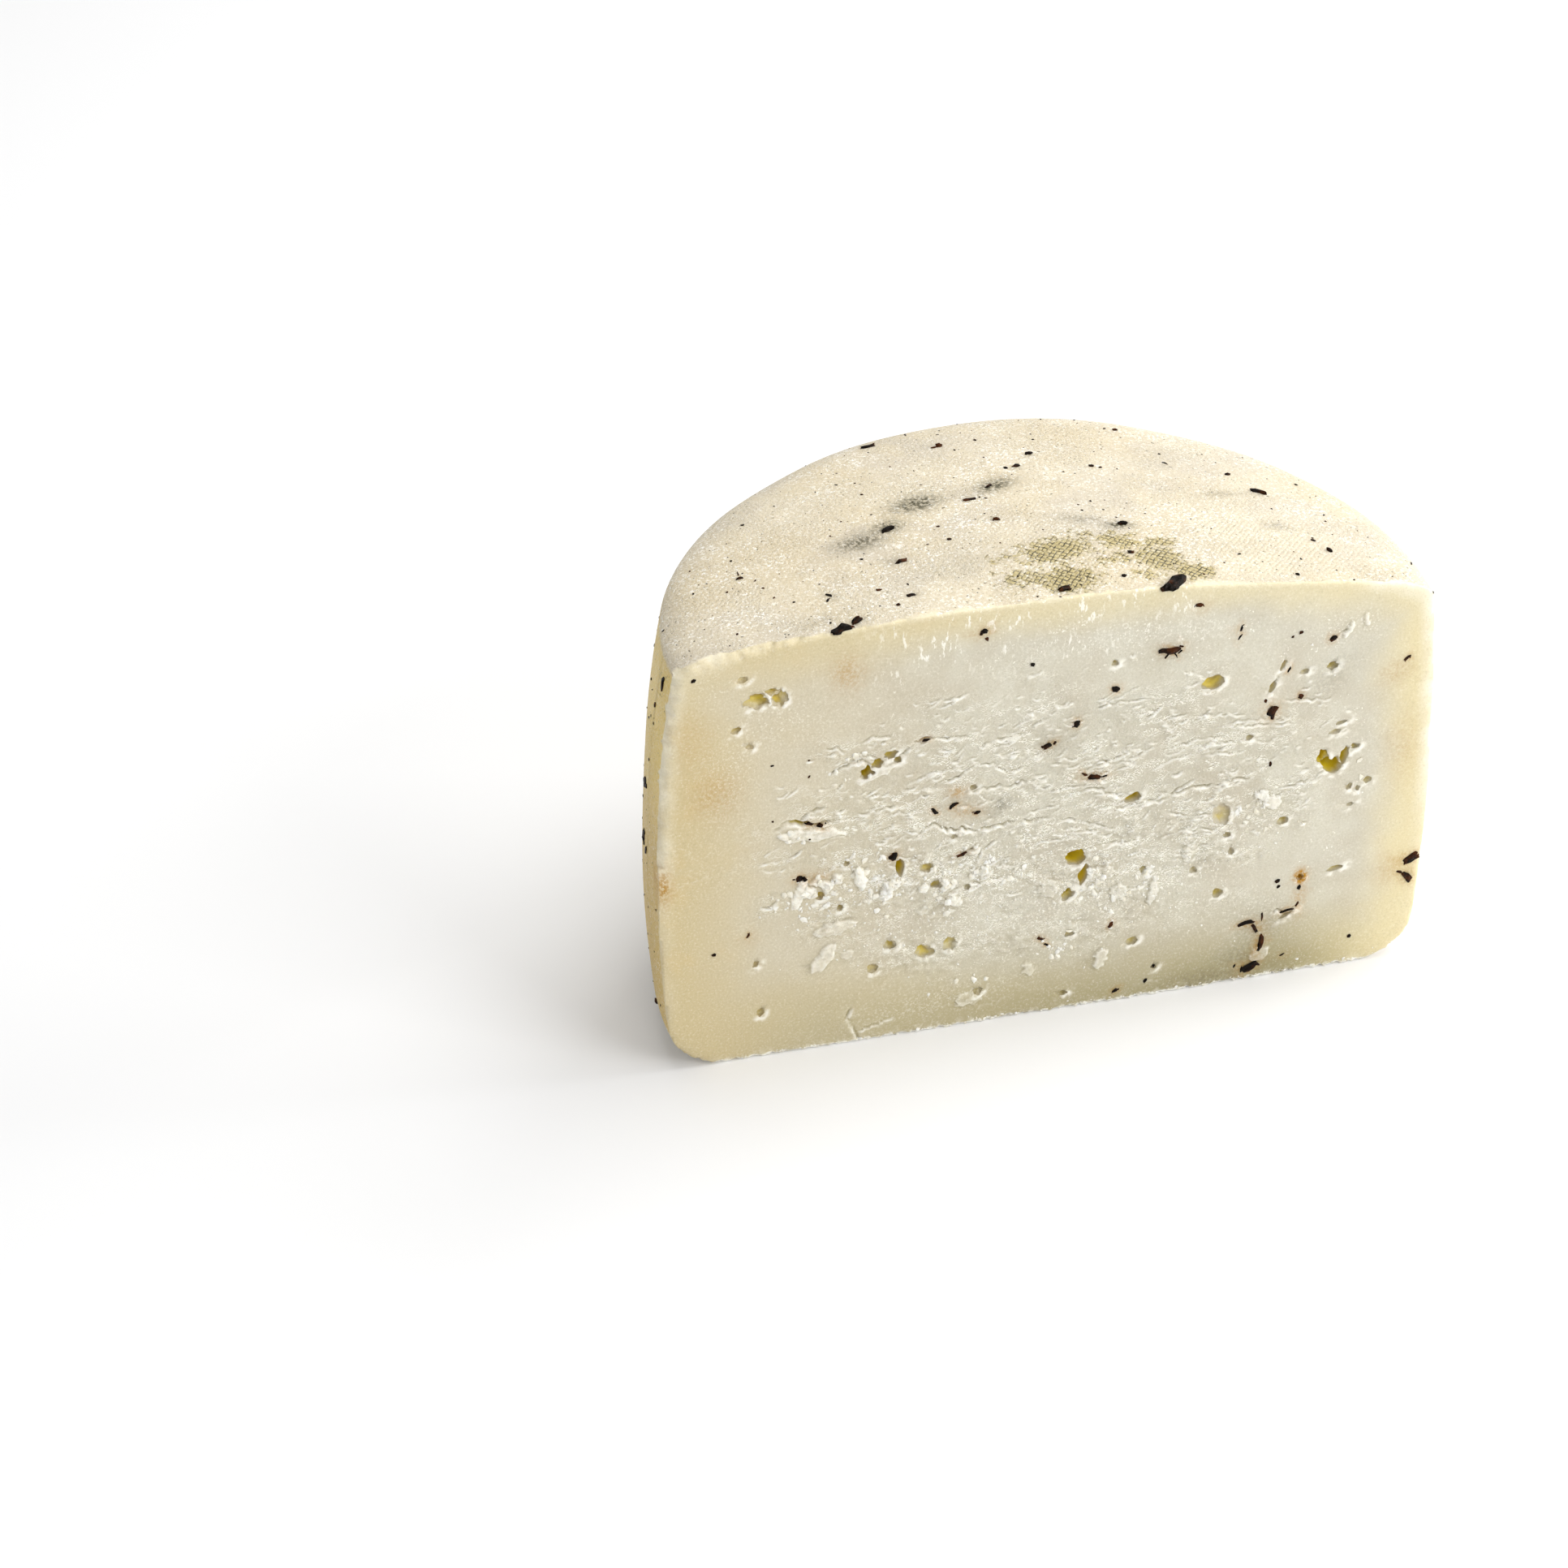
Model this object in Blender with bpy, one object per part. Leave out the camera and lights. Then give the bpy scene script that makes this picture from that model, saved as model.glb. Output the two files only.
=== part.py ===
"""Half wheel of truffle goat cheese, as one closed solid.

A soft-pressed wheel, 130 mm across and 80 mm high at the middle of its domed top, was cut
through with a knife a little in front of its axis. The larger half is modelled: a smooth rind
all round, and a cut face with eyes, tears, curd crumbs and shavings of black truffle.

Units are metres, +Z is up and the cut face looks towards -Y. The origin is on the ground under
the middle of the half wheel's box. Places on the cut face are given as (x, z) from the wheel's
axis and the ground, places on the rind as an angle about the axis and a height or a radius.
"""

import math
import random
from collections import namedtuple

import bmesh
import bpy
from mathutils import Matrix, Vector, noise

MM = 0.001

# The whole wheel
RIM_RADIUS = 62.1 * MM
BELLY = 2.9 * MM
BELLY_AT = 0.45
RIM_HEIGHT = 74.5 * MM
DOME_RISE = 5.6 * MM
FOOT_CORNER = 8.3 * MM
RIM_CORNER = (7.0 * MM, 2.0 * MM)
TOP_FALL = Vector((-2.0, 0.4)) * MM
LEAN = 0.35 * MM
BELLY_SHIFT = -0.4 * MM
OUT_OF_ROUND = ((2, 1.48 * MM, math.radians(29)), (3, 1.34 * MM, math.radians(74)))
DENT = 0.35 * MM
DENT_SPAN = 26 * MM

# The knife cut
CUT_AT = -8.0 * MM
AXIS_AT = Vector((1.3, -28.3, 0.0)) * MM
SWEEP = 0.3 * MM
SWEEP_SPAN = 34 * MM

# The torn middle of the cut, where the paste is dry and scaly
TORN_CENTRE = (-2 * MM, 41 * MM)
TORN_HALF = (50 * MM, 20 * MM)
TORN_HEIGHT = 0.8 * MM
TORN_SPAN = (6.5 * MM, 2.6 * MM)
TORN_SLANT = math.radians(6)

# The block that keeps the half: how far it reaches past the wheel, below its foot and behind it
BLOCK_PAST = 6 * MM
BLOCK_BELOW = 3 * MM
BLOCK_BEHIND = 91 * MM

# How finely the solid is faceted
RIM_STEPS = 64
FACE_STEP = 2.7 * MM
CORNER_STEPS = 4
SIDE_STEPS = 7
DOME_RINGS = (0.72, 0.5, 0.25)
FLAT_RINGS = (0.62, 0.3)

# Eyes and tears: roughness and how far an eye's middle lies in, as a share of its depth; how far
# a tear's wedge stands out of the cut, its narrowest share and where its bed lies
EYE_ROUGH = 0.35
EYE_SINK = 0.15
TEAR_OUT = 1.2 * MM
TEAR_LEAST = 0.12
TEAR_BED = 0.3

# Curd lumps: half their thickness, how far they are sunk in, and roughness
LUMP_HALF = 0.9 * MM
LUMP_SINK = 0.1 * MM
LUMP_ROUGH = 0.45
LUMP_SEED = 40

# Truffle shavings: sides, half thickness and its share of the width, taper, unevenness and sink
FLAKE_SIDES = 5
FLAKE_HALF = 0.5 * MM
FLAKE_HALF_SHARE = 0.12
FLAKE_TAPER = (1.1, 0.7)
FLAKE_REACH = (0.8, 1.12)
FLAKE_SKEW = 0.25
FLAKE_SINK = 0.1 * MM

# Truffle shavings on the rind's side: count, lengths, widths, and where they may lie
RIND_FLAKES = 44
RIND_FLAKE_SIZE = (1.6 * MM, 3.6 * MM)
RIND_FLAKE_SHRINK = (0.7, 1.0)
RIND_FLAKE_WIDE = (0.35, 0.7)
RIND_FLAKE_SINK = 0.15 * MM
RIND_ANGLES = (math.radians(-8), math.radians(188))
RIND_REACH = (0.37, 0.72)
CUT_MARGIN = 3 * MM
FOOT_MARGIN = 5 * MM
RIND_SEED = 4

ANGLE_STEP = 0.02
WELD = 0.01 * MM
SHARP_ANGLE = math.radians(30)
PASTE_COLOUR = (0.80, 0.74, 0.58, 1.0)
PASTE_ROUGHNESS = 0.55

Eye = namedtuple("Eye", "x z wide high deep turn")
Flake = namedtuple("Flake", "x z long wide turn")
Lump = namedtuple("Lump", "x z wide high")
Tear = namedtuple("Tear", "points wide deep")

# Eyes: centre, width, height and depth in mm, and the turn in degrees
EYES = (
    Eye(-51.0, 68.2, 4.2, 3.4, 3.0, 20),
    Eye(-47.4, 68.6, 4.0, 3.8, 3.2, -15),
    Eye(-53.3, 73.1, 2.0, 1.6, 1.2, 0),
    Eye(-54.4, 64.0, 1.9, 1.4, 1.0, 20),
    Eye(-32.3, 53.5, 3.0, 2.2, 2.2, 35),
    Eye(-29.4, 55.3, 2.6, 1.7, 1.8, 30),
    Eye(-40.7, 30.4, 1.8, 1.7, 1.6, 0),
    Eye(-27.4, 33.6, 1.6, 3.5, 2.2, 0),
    Eye(-22.8, 32.9, 2.3, 2.2, 2.0, 10),
    Eye(-21.3, 29.2, 2.0, 1.6, 1.6, 0),
    Eye(12.0, 40.2, 2.8, 2.0, 2.2, 25),
    Eye(2.7, 29.8, 3.7, 4.0, 3.4, 10),
    Eye(4.0, 26.2, 1.8, 3.5, 2.4, -12),
    Eye(1.4, 23.4, 2.5, 2.2, 2.0, 30),
    Eye(24.7, 60.1, 3.7, 3.0, 2.6, 15),
    Eye(45.2, 59.9, 2.0, 1.6, 1.4, 20),
    Eye(46.4, 47.3, 2.4, 1.4, 1.2, 0),
    Eye(45.4, 41.9, 3.4, 3.6, 3.0, 30),
    Eye(47.8, 40.2, 2.6, 3.6, 2.8, -20),
    Eye(50.1, 43.8, 1.8, 1.6, 1.4, 0),
    Eye(52.9, 36.7, 1.8, 1.6, 1.4, 0),
    Eye(38.3, 31.3, 1.8, 1.8, 1.6, 0),
    Eye(27.7, 33.9, 2.8, 4.8, 0.9, 5),
    Eye(27.7, 18.6, 2.0, 1.9, 1.5, 0),
    Eye(48.4, 19.9, 2.8, 1.5, 1.2, 10),
    Eye(-28.7, 18.5, 1.8, 1.6, 1.4, 0),
    Eye(-31.8, 14.4, 1.8, 1.6, 1.4, 0),
    Eye(13.0, 11.9, 2.0, 1.6, 1.4, 0),
)

# Tears: the line of each in mm, its greatest width and its depth
TEARS = (
    Tear(((-47.6, 44.3), (-44.9, 45.6), (-42.5, 44.3), (-38.5, 43.8), (-35.4, 42.9)), 1.3, 1.5),
    Tear(((-35.2, 50.9), (-31.5, 52.9), (-27.2, 55.4), (-24.6, 57.2)), 1.2, 1.5),
    Tear(((-27.5, 40.9), (-20.5, 38.3), (-11.2, 37.3), (-3.0, 36.5), (3.0, 38.0)), 1.0, 1.1),
    Tear(((-22.0, 48.8), (-14.5, 50.7), (-9.2, 48.4)), 0.9, 1.0),
    Tear(((19.0, 39.8), (22.5, 41.0), (26.2, 40.1)), 0.9, 1.0),
)

# Curd lumps and smears that stand on the cut
LUMPS = (
    Lump(-33.1, 32.1, 2.6, 5.6),
    Lump(-29.0, 28.6, 2.2, 2.4),
    Lump(-43.7, 29.0, 3.8, 1.8),
    Lump(-39.5, 31.9, 2.0, 2.0),
    Lump(-19.8, 28.9, 2.2, 2.0),
    Lump(-12.9, 30.1, 1.9, 1.8),
    Lump(-15.1, 34.8, 1.9, 1.6),
    Lump(34.3, 36.8, 1.9, 1.6),
    Lump(-39.3, 18.2, 4.6, 5.8),
    Lump(-34.6, 23.4, 3.0, 1.9),
    Lump(-42.0, 42.2, 6.0, 1.5),
)

# Truffle on the cut: centre, length and width in mm, and the turn in degrees
CUT_FLAKES = (
    Flake(-61.1, 74.4, 1.6, 1.1, 10),
    Flake(-41.0, 43.8, 2.2, 1.2, 0),
    Flake(-44.2, 34.3, 1.8, 1.3, 30),
    Flake(-28.3, 35.9, 1.9, 1.4, 60),
    Flake(-17.0, 34.4, 2.2, 0.9, 15),
    Flake(-21.6, 43.4, 1.5, 1.2, 40),
    Flake(-18.2, 43.6, 2.2, 0.9, 35),
    Flake(-14.6, 41.9, 1.5, 1.1, 0),
    Flake(-2.9, 52.5, 1.9, 1.3, 20),
    Flake(5.1, 45.5, 2.4, 1.3, -10),
    Flake(1.8, 56.1, 1.5, 1.1, 60),
    Flake(8.2, 61.5, 1.5, 1.3, 0),
    Flake(-14.2, 75.6, 1.6, 1.1, 0),
    Flake(21.5, 74.7, 2.0, 0.9, 0),
    Flake(17.2, 67.3, 3.4, 1.7, 5),
    Flake(29.0, 69.4, 1.6, 1.0, 80),
    Flake(37.4, 60.0, 3.4, 1.2, 62),
    Flake(35.2, 53.0, 2.6, 2.2, 70),
    Flake(40.0, 55.1, 1.6, 1.0, 0),
    Flake(44.8, 65.1, 1.6, 1.2, 30),
    Flake(39.4, 67.2, 1.5, 1.0, 0),
    Flake(58.2, 59.4, 1.6, 0.9, 35),
    Flake(-58.3, 21.9, 1.5, 1.1, 20),
    Flake(-2.4, 14.5, 2.4, 0.9, -25),
    Flake(9.0, 15.9, 1.8, 1.1, 20),
    Flake(10.4, 2.6, 1.7, 1.1, 0),
    Flake(15.7, 3.9, 1.6, 1.1, 40),
    Flake(32.9, 11.2, 2.3, 1.0, 10),
    Flake(35.4, 10.6, 2.0, 1.2, 70),
    Flake(35.3, 7.0, 3.6, 1.1, 82),
    Flake(34.2, 3.2, 2.8, 1.6, 20),
    Flake(31.4, 3.8, 2.0, 1.1, -20),
    Flake(40.1, 12.3, 2.3, 1.0, 15),
    Flake(40.0, 4.3, 1.6, 1.0, 0),
    Flake(38.3, 19.1, 1.5, 1.1, 30),
    Flake(42.3, 17.8, 1.8, 1.3, 70),
)

# Truffle on the top: x and y from the axis, length and width in mm, and the turn in degrees
TOP_FLAKES = (
    Flake(16.9, -6.2, 4.6, 2.8, 50),
    Flake(-37.4, -5.9, 4.4, 1.9, 20),
    Flake(-34.4, -4.6, 2.4, 1.4, 40),
    Flake(-36.4, 2.4, 2.2, 1.2, 100),
    Flake(-23.5, -1.2, 1.8, 1.1, 20),
    Flake(-21.7, 21.7, 2.8, 1.7, 30),
    Flake(-6.1, 27.7, 2.4, 1.0, 0),
    Flake(15.2, 12.9, 3.0, 1.6, -10),
    Flake(-23.2, 9.8, 2.0, 1.6, 0),
    Flake(-4.2, 50.7, 2.2, 1.5, 20),
    Flake(8.8, 42.7, 1.8, 1.3, 0),
    Flake(5.3, 38.0, 1.8, 1.2, 30),
    Flake(42.2, 22.5, 2.8, 1.1, -20),
    Flake(47.4, 2.2, 1.6, 1.1, 60),
    Flake(0.0, 31.0, 2.6, 1.5, 25),
)


def rind_profile():
    """Radius and height of the wheel's skin, from the middle of its foot to the middle of its top."""
    foot = RIM_RADIUS - FOOT_CORNER
    points = [(0.0, 0.0)]
    points += [(foot * share, 0.0) for share in reversed(FLAT_RINGS)]
    for i in range(CORNER_STEPS + 1):
        turn = math.pi / 2 * i / CORNER_STEPS
        points.append((foot + FOOT_CORNER * math.sin(turn), FOOT_CORNER * (1 - math.cos(turn))))
    wide, high = RIM_CORNER
    shoulder = RIM_HEIGHT - high
    for i in range(1, SIDE_STEPS):
        points.append((RIM_RADIUS, FOOT_CORNER + (shoulder - FOOT_CORNER) * i / SIDE_STEPS))
    for i in range(CORNER_STEPS + 1):
        turn = math.pi / 2 * i / CORNER_STEPS
        points.append((RIM_RADIUS - wide + wide * math.cos(turn), shoulder + high * math.sin(turn)))
    points += [((RIM_RADIUS - wide) * share, RIM_HEIGHT) for share in DOME_RINGS]
    points.append((0.0, RIM_HEIGHT))
    return points


def rind_point(radius, height, angle):
    """The point of the wheel's skin for one point of the profile at one angle about the axis."""
    level = height / RIM_HEIGHT
    bulge = (level - BELLY_AT) / (1 - BELLY_AT)
    reach = radius + BELLY * (1 - bulge * bulge) * (radius / RIM_RADIUS) ** 2
    uneven = sum(size * math.cos(order * (angle - peak)) for order, size, peak in OUT_OF_ROUND)
    reach *= 1 + uneven / RIM_RADIUS
    x, y = reach * math.cos(angle), reach * math.sin(angle)
    crown = max(level - 0.5, 0.0) * 2
    z = height + DOME_RISE * (1 - (radius / RIM_RADIUS) ** 2) * crown**2
    z += level * (TOP_FALL.x * x + TOP_FALL.y * y) / RIM_RADIUS
    dent = DENT * noise.noise(Vector((x, y, z)) / DENT_SPAN) * min(level * 4, 1)
    x += LEAN * (level - 0.5) + BELLY_SHIFT * 4 * level * (1 - level) + dent * math.cos(angle)
    return Vector((x, y + dent * math.sin(angle), z + dent * crown))


def smooth_step(value):
    """Zero to one with soft ends."""
    value = min(max(value, 0.0), 1.0)
    return value * value * (3 - 2 * value)


def torn_share(x, z):
    """How torn the cut is at a place: one in the dry middle, zero near the rind."""
    across = (x - TORN_CENTRE[0]) / TORN_HALF[0]
    up = (z - TORN_CENTRE[1]) / TORN_HALF[1]
    return smooth_step((1.0 - math.hypot(across, up)) * 1.8)


def cut_relief(x, z):
    """How far the cut stands out towards the viewer at a place on it."""
    sweep = SWEEP * noise.noise(Vector((x, z, 0.0)) / SWEEP_SPAN)
    along = x * math.cos(TORN_SLANT) + z * math.sin(TORN_SLANT)
    up = z * math.cos(TORN_SLANT) - x * math.sin(TORN_SLANT)
    scales = noise.noise(Vector((along / TORN_SPAN[0], up / TORN_SPAN[1], 3.0)))
    return sweep + TORN_HEIGHT * torn_share(x, z) * scales


def new_object(name, mesh):
    """Link a mesh to the scene as an object."""
    piece = bpy.data.objects.new(name, mesh)
    bpy.context.scene.collection.objects.link(piece)
    return piece


def mesh_object(name, points, faces):
    """An object from points and faces, with its faces turned outwards."""
    mesh = bpy.data.meshes.new(name)
    mesh.from_pydata([tuple(point) for point in points], [], faces)
    body = bmesh.new()
    body.from_mesh(mesh)
    bmesh.ops.recalc_face_normals(body, faces=body.faces)
    body.to_mesh(mesh)
    body.free()
    return new_object(name, mesh)


def ring_faces(start, next_start, count):
    """Quads between two rings of points with the same count."""
    return [
        (start + i, start + (i + 1) % count, next_start + (i + 1) % count, next_start + i)
        for i in range(count)
    ]


def whole_wheel():
    """The wheel before it was cut, turned about its axis ring by ring."""
    profile = rind_profile()
    points, faces = [rind_point(0.0, 0.0, 0.0)], []
    angles = [2 * math.pi * i / RIM_STEPS for i in range(RIM_STEPS)]
    for radius, height in profile[1:-1]:
        points += [rind_point(radius, height, angle) for angle in angles]
    points.append(rind_point(0.0, profile[-1][1], 0.0))
    rings = [1 + RIM_STEPS * i for i in range(len(profile) - 2)]
    for start, next_start in zip(rings, rings[1:]):
        faces += ring_faces(start, next_start, RIM_STEPS)
    top = len(points) - 1
    for i in range(RIM_STEPS):
        following = (i + 1) % RIM_STEPS
        faces.append((0, rings[0] + following, rings[0] + i))
        faces.append((top, rings[-1] + i, rings[-1] + following))
    return mesh_object("truffle_goat_cheese_half", points, faces)


def kept_side():
    """The block that holds the kept half: its front is the uneven knife cut."""
    reach = RIM_RADIUS + BELLY + BLOCK_PAST
    low, high = -BLOCK_BELOW, RIM_HEIGHT + DOME_RISE + BLOCK_PAST
    columns = round(2 * reach / FACE_STEP)
    rows = round((high - low) / FACE_STEP)
    points = []
    for row in range(rows + 1):
        z = low + (high - low) * row / rows
        for column in range(columns + 1):
            x = -reach + 2 * reach * column / columns
            points.append((x, CUT_AT - cut_relief(x, z), z))
    width = columns + 1
    faces = [
        (row * width + i, row * width + i + 1, (row + 1) * width + i + 1, (row + 1) * width + i)
        for row in range(rows)
        for i in range(columns)
    ]
    border = list(range(width))
    border += [row * width + columns for row in range(1, rows + 1)]
    border += [rows * width + i for i in range(columns - 1, -1, -1)]
    border += [row * width for row in range(rows - 1, 0, -1)]
    start = len(points)
    points += [(points[i][0], BLOCK_BEHIND, points[i][2]) for i in border]
    count = len(border)
    faces += [
        (border[i], border[(i + 1) % count], start + (i + 1) % count, start + i)
        for i in range(count)
    ]
    faces.append(tuple(range(start, start + count)))
    return mesh_object("kept_side", points, faces)


def blob(name, place, half_sizes, turn, rough, seed, detail=1):
    """A lumpy ball on the cut: half sizes across, into the cut and up, turned in the cut's plane."""
    body = bmesh.new()
    bmesh.ops.create_icosphere(body, subdivisions=detail, radius=1.0)
    shift = Vector((seed * 3.1, seed * 1.7, 0.0))
    for vert in body.verts:
        vert.co *= 1 + rough * noise.noise(vert.co * 1.3 + shift)
    body.transform(Matrix.Diagonal((*half_sizes, 1.0)))
    body.transform(Matrix.Rotation(-math.radians(turn), 4, "Y"))
    body.transform(Matrix.Translation(place))
    mesh = bpy.data.meshes.new(name)
    body.to_mesh(mesh)
    body.free()
    return new_object(name, mesh)


def on_cut(x, z, inwards=0.0):
    """A point on the cut, from a place in mm, sunk inwards by a length."""
    return Vector((x * MM, CUT_AT - cut_relief(x * MM, z * MM) + inwards, z * MM))


def eye_cutters():
    """A lumpy hollow for every eye in the paste."""
    return [
        blob(f"eye_{i}", on_cut(eye.x, eye.z, eye.deep * MM * EYE_SINK),
             (eye.wide / 2 * MM, eye.deep * MM, eye.high / 2 * MM), eye.turn, EYE_ROUGH, i)
        for i, eye in enumerate(EYES)
    ]


def tear_cutters():
    """A wedge along the line of every tear, widest at its middle and closed at its ends."""
    cutters = []
    for number, tear in enumerate(TEARS):
        points, faces = [], []
        last = len(tear.points) - 1
        for i, (x, z) in enumerate(tear.points):
            gape = max(math.sin(math.pi * i / last), TEAR_LEAST)
            half = tear.wide / 2 * gape
            deep = tear.deep * MM * gape
            points += [
                on_cut(x, z + half, -TEAR_OUT),
                on_cut(x, z - half, -TEAR_OUT),
                on_cut(x, z - half * TEAR_BED, deep),
            ]
            if i:
                start = 3 * (i - 1)
                faces += ring_faces(start, start + 3, 3)
        faces += [(0, 1, 2), (3 * last + 2, 3 * last + 1, 3 * last)]
        cutters.append(mesh_object(f"tear_{number}", points, faces))
    return cutters


def flake_object(name, place, normal, long, wide, turn, rng):
    """A shaving of truffle: a thin, uneven disc of a few sides, lying in the surface."""
    tall = FLAKE_HALF + FLAKE_HALF_SHARE * wide
    points = []
    for level, taper in zip((-tall, tall), FLAKE_TAPER):
        for i in range(FLAKE_SIDES):
            angle = 2 * math.pi * (i + rng.uniform(-FLAKE_SKEW, FLAKE_SKEW)) / FLAKE_SIDES
            reach = taper * rng.uniform(*FLAKE_REACH)
            across = reach * long / 2 * math.cos(angle), reach * wide / 2 * math.sin(angle)
            points.append(Vector((*across, level)))
    faces = [tuple(range(FLAKE_SIDES)), tuple(range(FLAKE_SIDES, 2 * FLAKE_SIDES))]
    faces += ring_faces(0, FLAKE_SIDES, FLAKE_SIDES)
    lie = normal.to_track_quat("Z", "X").to_matrix().to_4x4()
    move = Matrix.Translation(place) @ lie @ Matrix.Rotation(turn, 4, "Z")
    return mesh_object(name, [move @ point for point in points], faces)


def cut_flakes(rng):
    """Truffle shavings that the knife laid bare."""
    pieces = []
    for i, flake in enumerate(CUT_FLAKES):
        place = on_cut(flake.x, flake.z, FLAKE_SINK)
        pieces.append(flake_object(f"cut_flake_{i}", place, Vector((0, -1, 0)), flake.long * MM,
                                   flake.wide * MM, math.radians(flake.turn), rng))
    return pieces


def rind_place(ring, angle):
    """Point and outward normal of the skin, at a distance along the profile and an angle."""
    profile = rind_profile()
    lengths = [0.0]
    for one, other in zip(profile, profile[1:]):
        lengths.append(lengths[-1] + math.dist(one, other))
    goal = ring * lengths[-1]
    step = max(i for i, length in enumerate(lengths[:-1]) if length <= goal)
    share = (goal - lengths[step]) / (lengths[step + 1] - lengths[step])
    (r0, z0), (r1, z1) = profile[step], profile[step + 1]
    radius, height = r0 + (r1 - r0) * share, z0 + (z1 - z0) * share
    along = rind_point(r1, z1, angle) - rind_point(r0, z0, angle)
    off_axis = max(radius, MM)
    ahead = rind_point(off_axis, height, angle + ANGLE_STEP)
    around = ahead - rind_point(off_axis, height, angle - ANGLE_STEP)
    return rind_point(radius, height, angle), around.cross(along).normalized()


def top_flakes(rng):
    """Truffle shavings that show on the domed top."""
    pieces = []
    for i, flake in enumerate(TOP_FLAKES):
        x, y = flake.x * MM, flake.z * MM
        radius, angle = math.hypot(x, y), math.atan2(y, x)
        place = rind_point(radius, RIM_HEIGHT, angle)
        slope = 2 * DOME_RISE * radius / RIM_RADIUS**2
        normal = Vector((slope * math.cos(angle), slope * math.sin(angle), 1.0)).normalized()
        pieces.append(flake_object(f"top_flake_{i}", place - normal * FLAKE_SINK, normal,
                                   flake.long * MM, flake.wide * MM, math.radians(flake.turn), rng))
    return pieces


def side_flakes(rng):
    """Truffle shavings spread over the side and the back of the top, clear of the cut and the foot."""
    pieces = []
    while len(pieces) < RIND_FLAKES:
        angle = rng.uniform(*RIND_ANGLES)
        ring = rng.uniform(*RIND_REACH)
        long = rng.uniform(*RIND_FLAKE_SIZE) * rng.uniform(*RIND_FLAKE_SHRINK)
        place, normal = rind_place(ring, angle)
        if place.y < CUT_AT + CUT_MARGIN or place.z < FOOT_MARGIN:
            continue
        pieces.append(flake_object(f"side_flake_{len(pieces)}", place - normal * RIND_FLAKE_SINK,
                                   normal, long, long * rng.uniform(*RIND_FLAKE_WIDE),
                                   rng.uniform(0, math.pi), rng))
    return pieces


def curd_lumps():
    """Crumbs and smears of curd that stand on the cut."""
    return [
        blob(f"lump_{i}", on_cut(lump.x, lump.z, LUMP_SINK),
             (lump.wide / 2 * MM, LUMP_HALF, lump.high / 2 * MM), 0, LUMP_ROUGH, LUMP_SEED + i)
        for i, lump in enumerate(LUMPS)
    ]


def apply_boolean(body, operation, tools):
    """Exact Boolean with one object or more, applied, with the tools removed afterwards."""
    collection = bpy.data.collections.new(operation.lower())
    for tool in tools:
        collection.objects.link(tool)
    modifier = body.modifiers.new(operation.lower(), "BOOLEAN")
    modifier.operation = operation
    modifier.solver = "EXACT"
    modifier.operand_type = "COLLECTION"
    modifier.collection = collection
    graph = bpy.context.evaluated_depsgraph_get()
    mesh = bpy.data.meshes.new_from_object(body.evaluated_get(graph))
    body.modifiers.clear()
    body.data = mesh
    for tool in tools:
        bpy.data.objects.remove(tool, do_unlink=True)
    bpy.data.collections.remove(collection)


def largest_shell(body):
    """Keep only the largest connected shell, so that no loose scrap stays."""
    left, shells = set(body.verts), []
    while left:
        stack, shell = [left.pop()], set()
        while stack:
            vert = stack.pop()
            shell.add(vert)
            for edge in vert.link_edges:
                other = edge.other_vert(vert)
                if other in left:
                    left.remove(other)
                    stack.append(other)
        shells.append(shell)
    keep = max(shells, key=len)
    bmesh.ops.delete(body, geom=[vert for vert in body.verts if vert not in keep], context="VERTS")


def clean(piece):
    """Weld slivers, drop scraps, triangulate and put the solid in its frame."""
    body = bmesh.new()
    body.from_mesh(piece.data)
    bmesh.ops.remove_doubles(body, verts=body.verts, dist=WELD)
    bmesh.ops.dissolve_degenerate(body, edges=body.edges, dist=WELD)
    bmesh.ops.triangulate(body, faces=body.faces)
    largest_shell(body)
    bmesh.ops.recalc_face_normals(body, faces=body.faces)
    body.transform(Matrix.Translation(AXIS_AT))
    body.to_mesh(piece.data)
    body.free()


def cheese_material():
    """Cream rind and ivory paste, taken as one colour on the plain solid."""
    material = bpy.data.materials.new("goat_cheese")
    material.use_nodes = True
    shader = material.node_tree.nodes["Principled BSDF"]
    shader.inputs["Base Color"].default_value = PASTE_COLOUR
    shader.inputs["Roughness"].default_value = PASTE_ROUGHNESS
    shader.inputs["Metallic"].default_value = 0.0
    return material


def main():
    """Turn the wheel, cut it, open the eyes and tears, and fuse crumbs and truffle onto it."""
    for piece in list(bpy.data.objects):
        bpy.data.objects.remove(piece, do_unlink=True)
    rng = random.Random(RIND_SEED)
    cheese = whole_wheel()
    apply_boolean(cheese, "INTERSECT", [kept_side()])
    apply_boolean(cheese, "DIFFERENCE", eye_cutters() + tear_cutters())
    apply_boolean(cheese, "UNION",
                  curd_lumps() + cut_flakes(rng) + top_flakes(rng) + side_flakes(rng))
    clean(cheese)
    cheese.data.materials.clear()
    cheese.data.materials.append(cheese_material())
    cheese.data.shade_smooth()
    cheese.data.set_sharp_from_angle(angle=SHARP_ANGLE)


main()
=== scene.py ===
"""Looks of a half wheel of truffle goat cheese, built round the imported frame.

The wheel's skin is worked out again from the sizes of its solid, finely, and met with a block
whose front is the knife cut: sweeps, scales, tears, eyes and smears in real relief. Curd crumbs
and truffle are pieces of their own. Lengths are metres; the tables of places are in millimetres,
(x, z) from the wheel's axis and the ground on the cut and (x, y) from the axis on the top.
"""

import sys
import logging
import math
import random
from dataclasses import dataclass
from enum import Enum
from typing import Iterable, Iterator, Sequence

import bmesh
import bpy
import numpy as np
from mathutils import Matrix, Vector, noise


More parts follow.
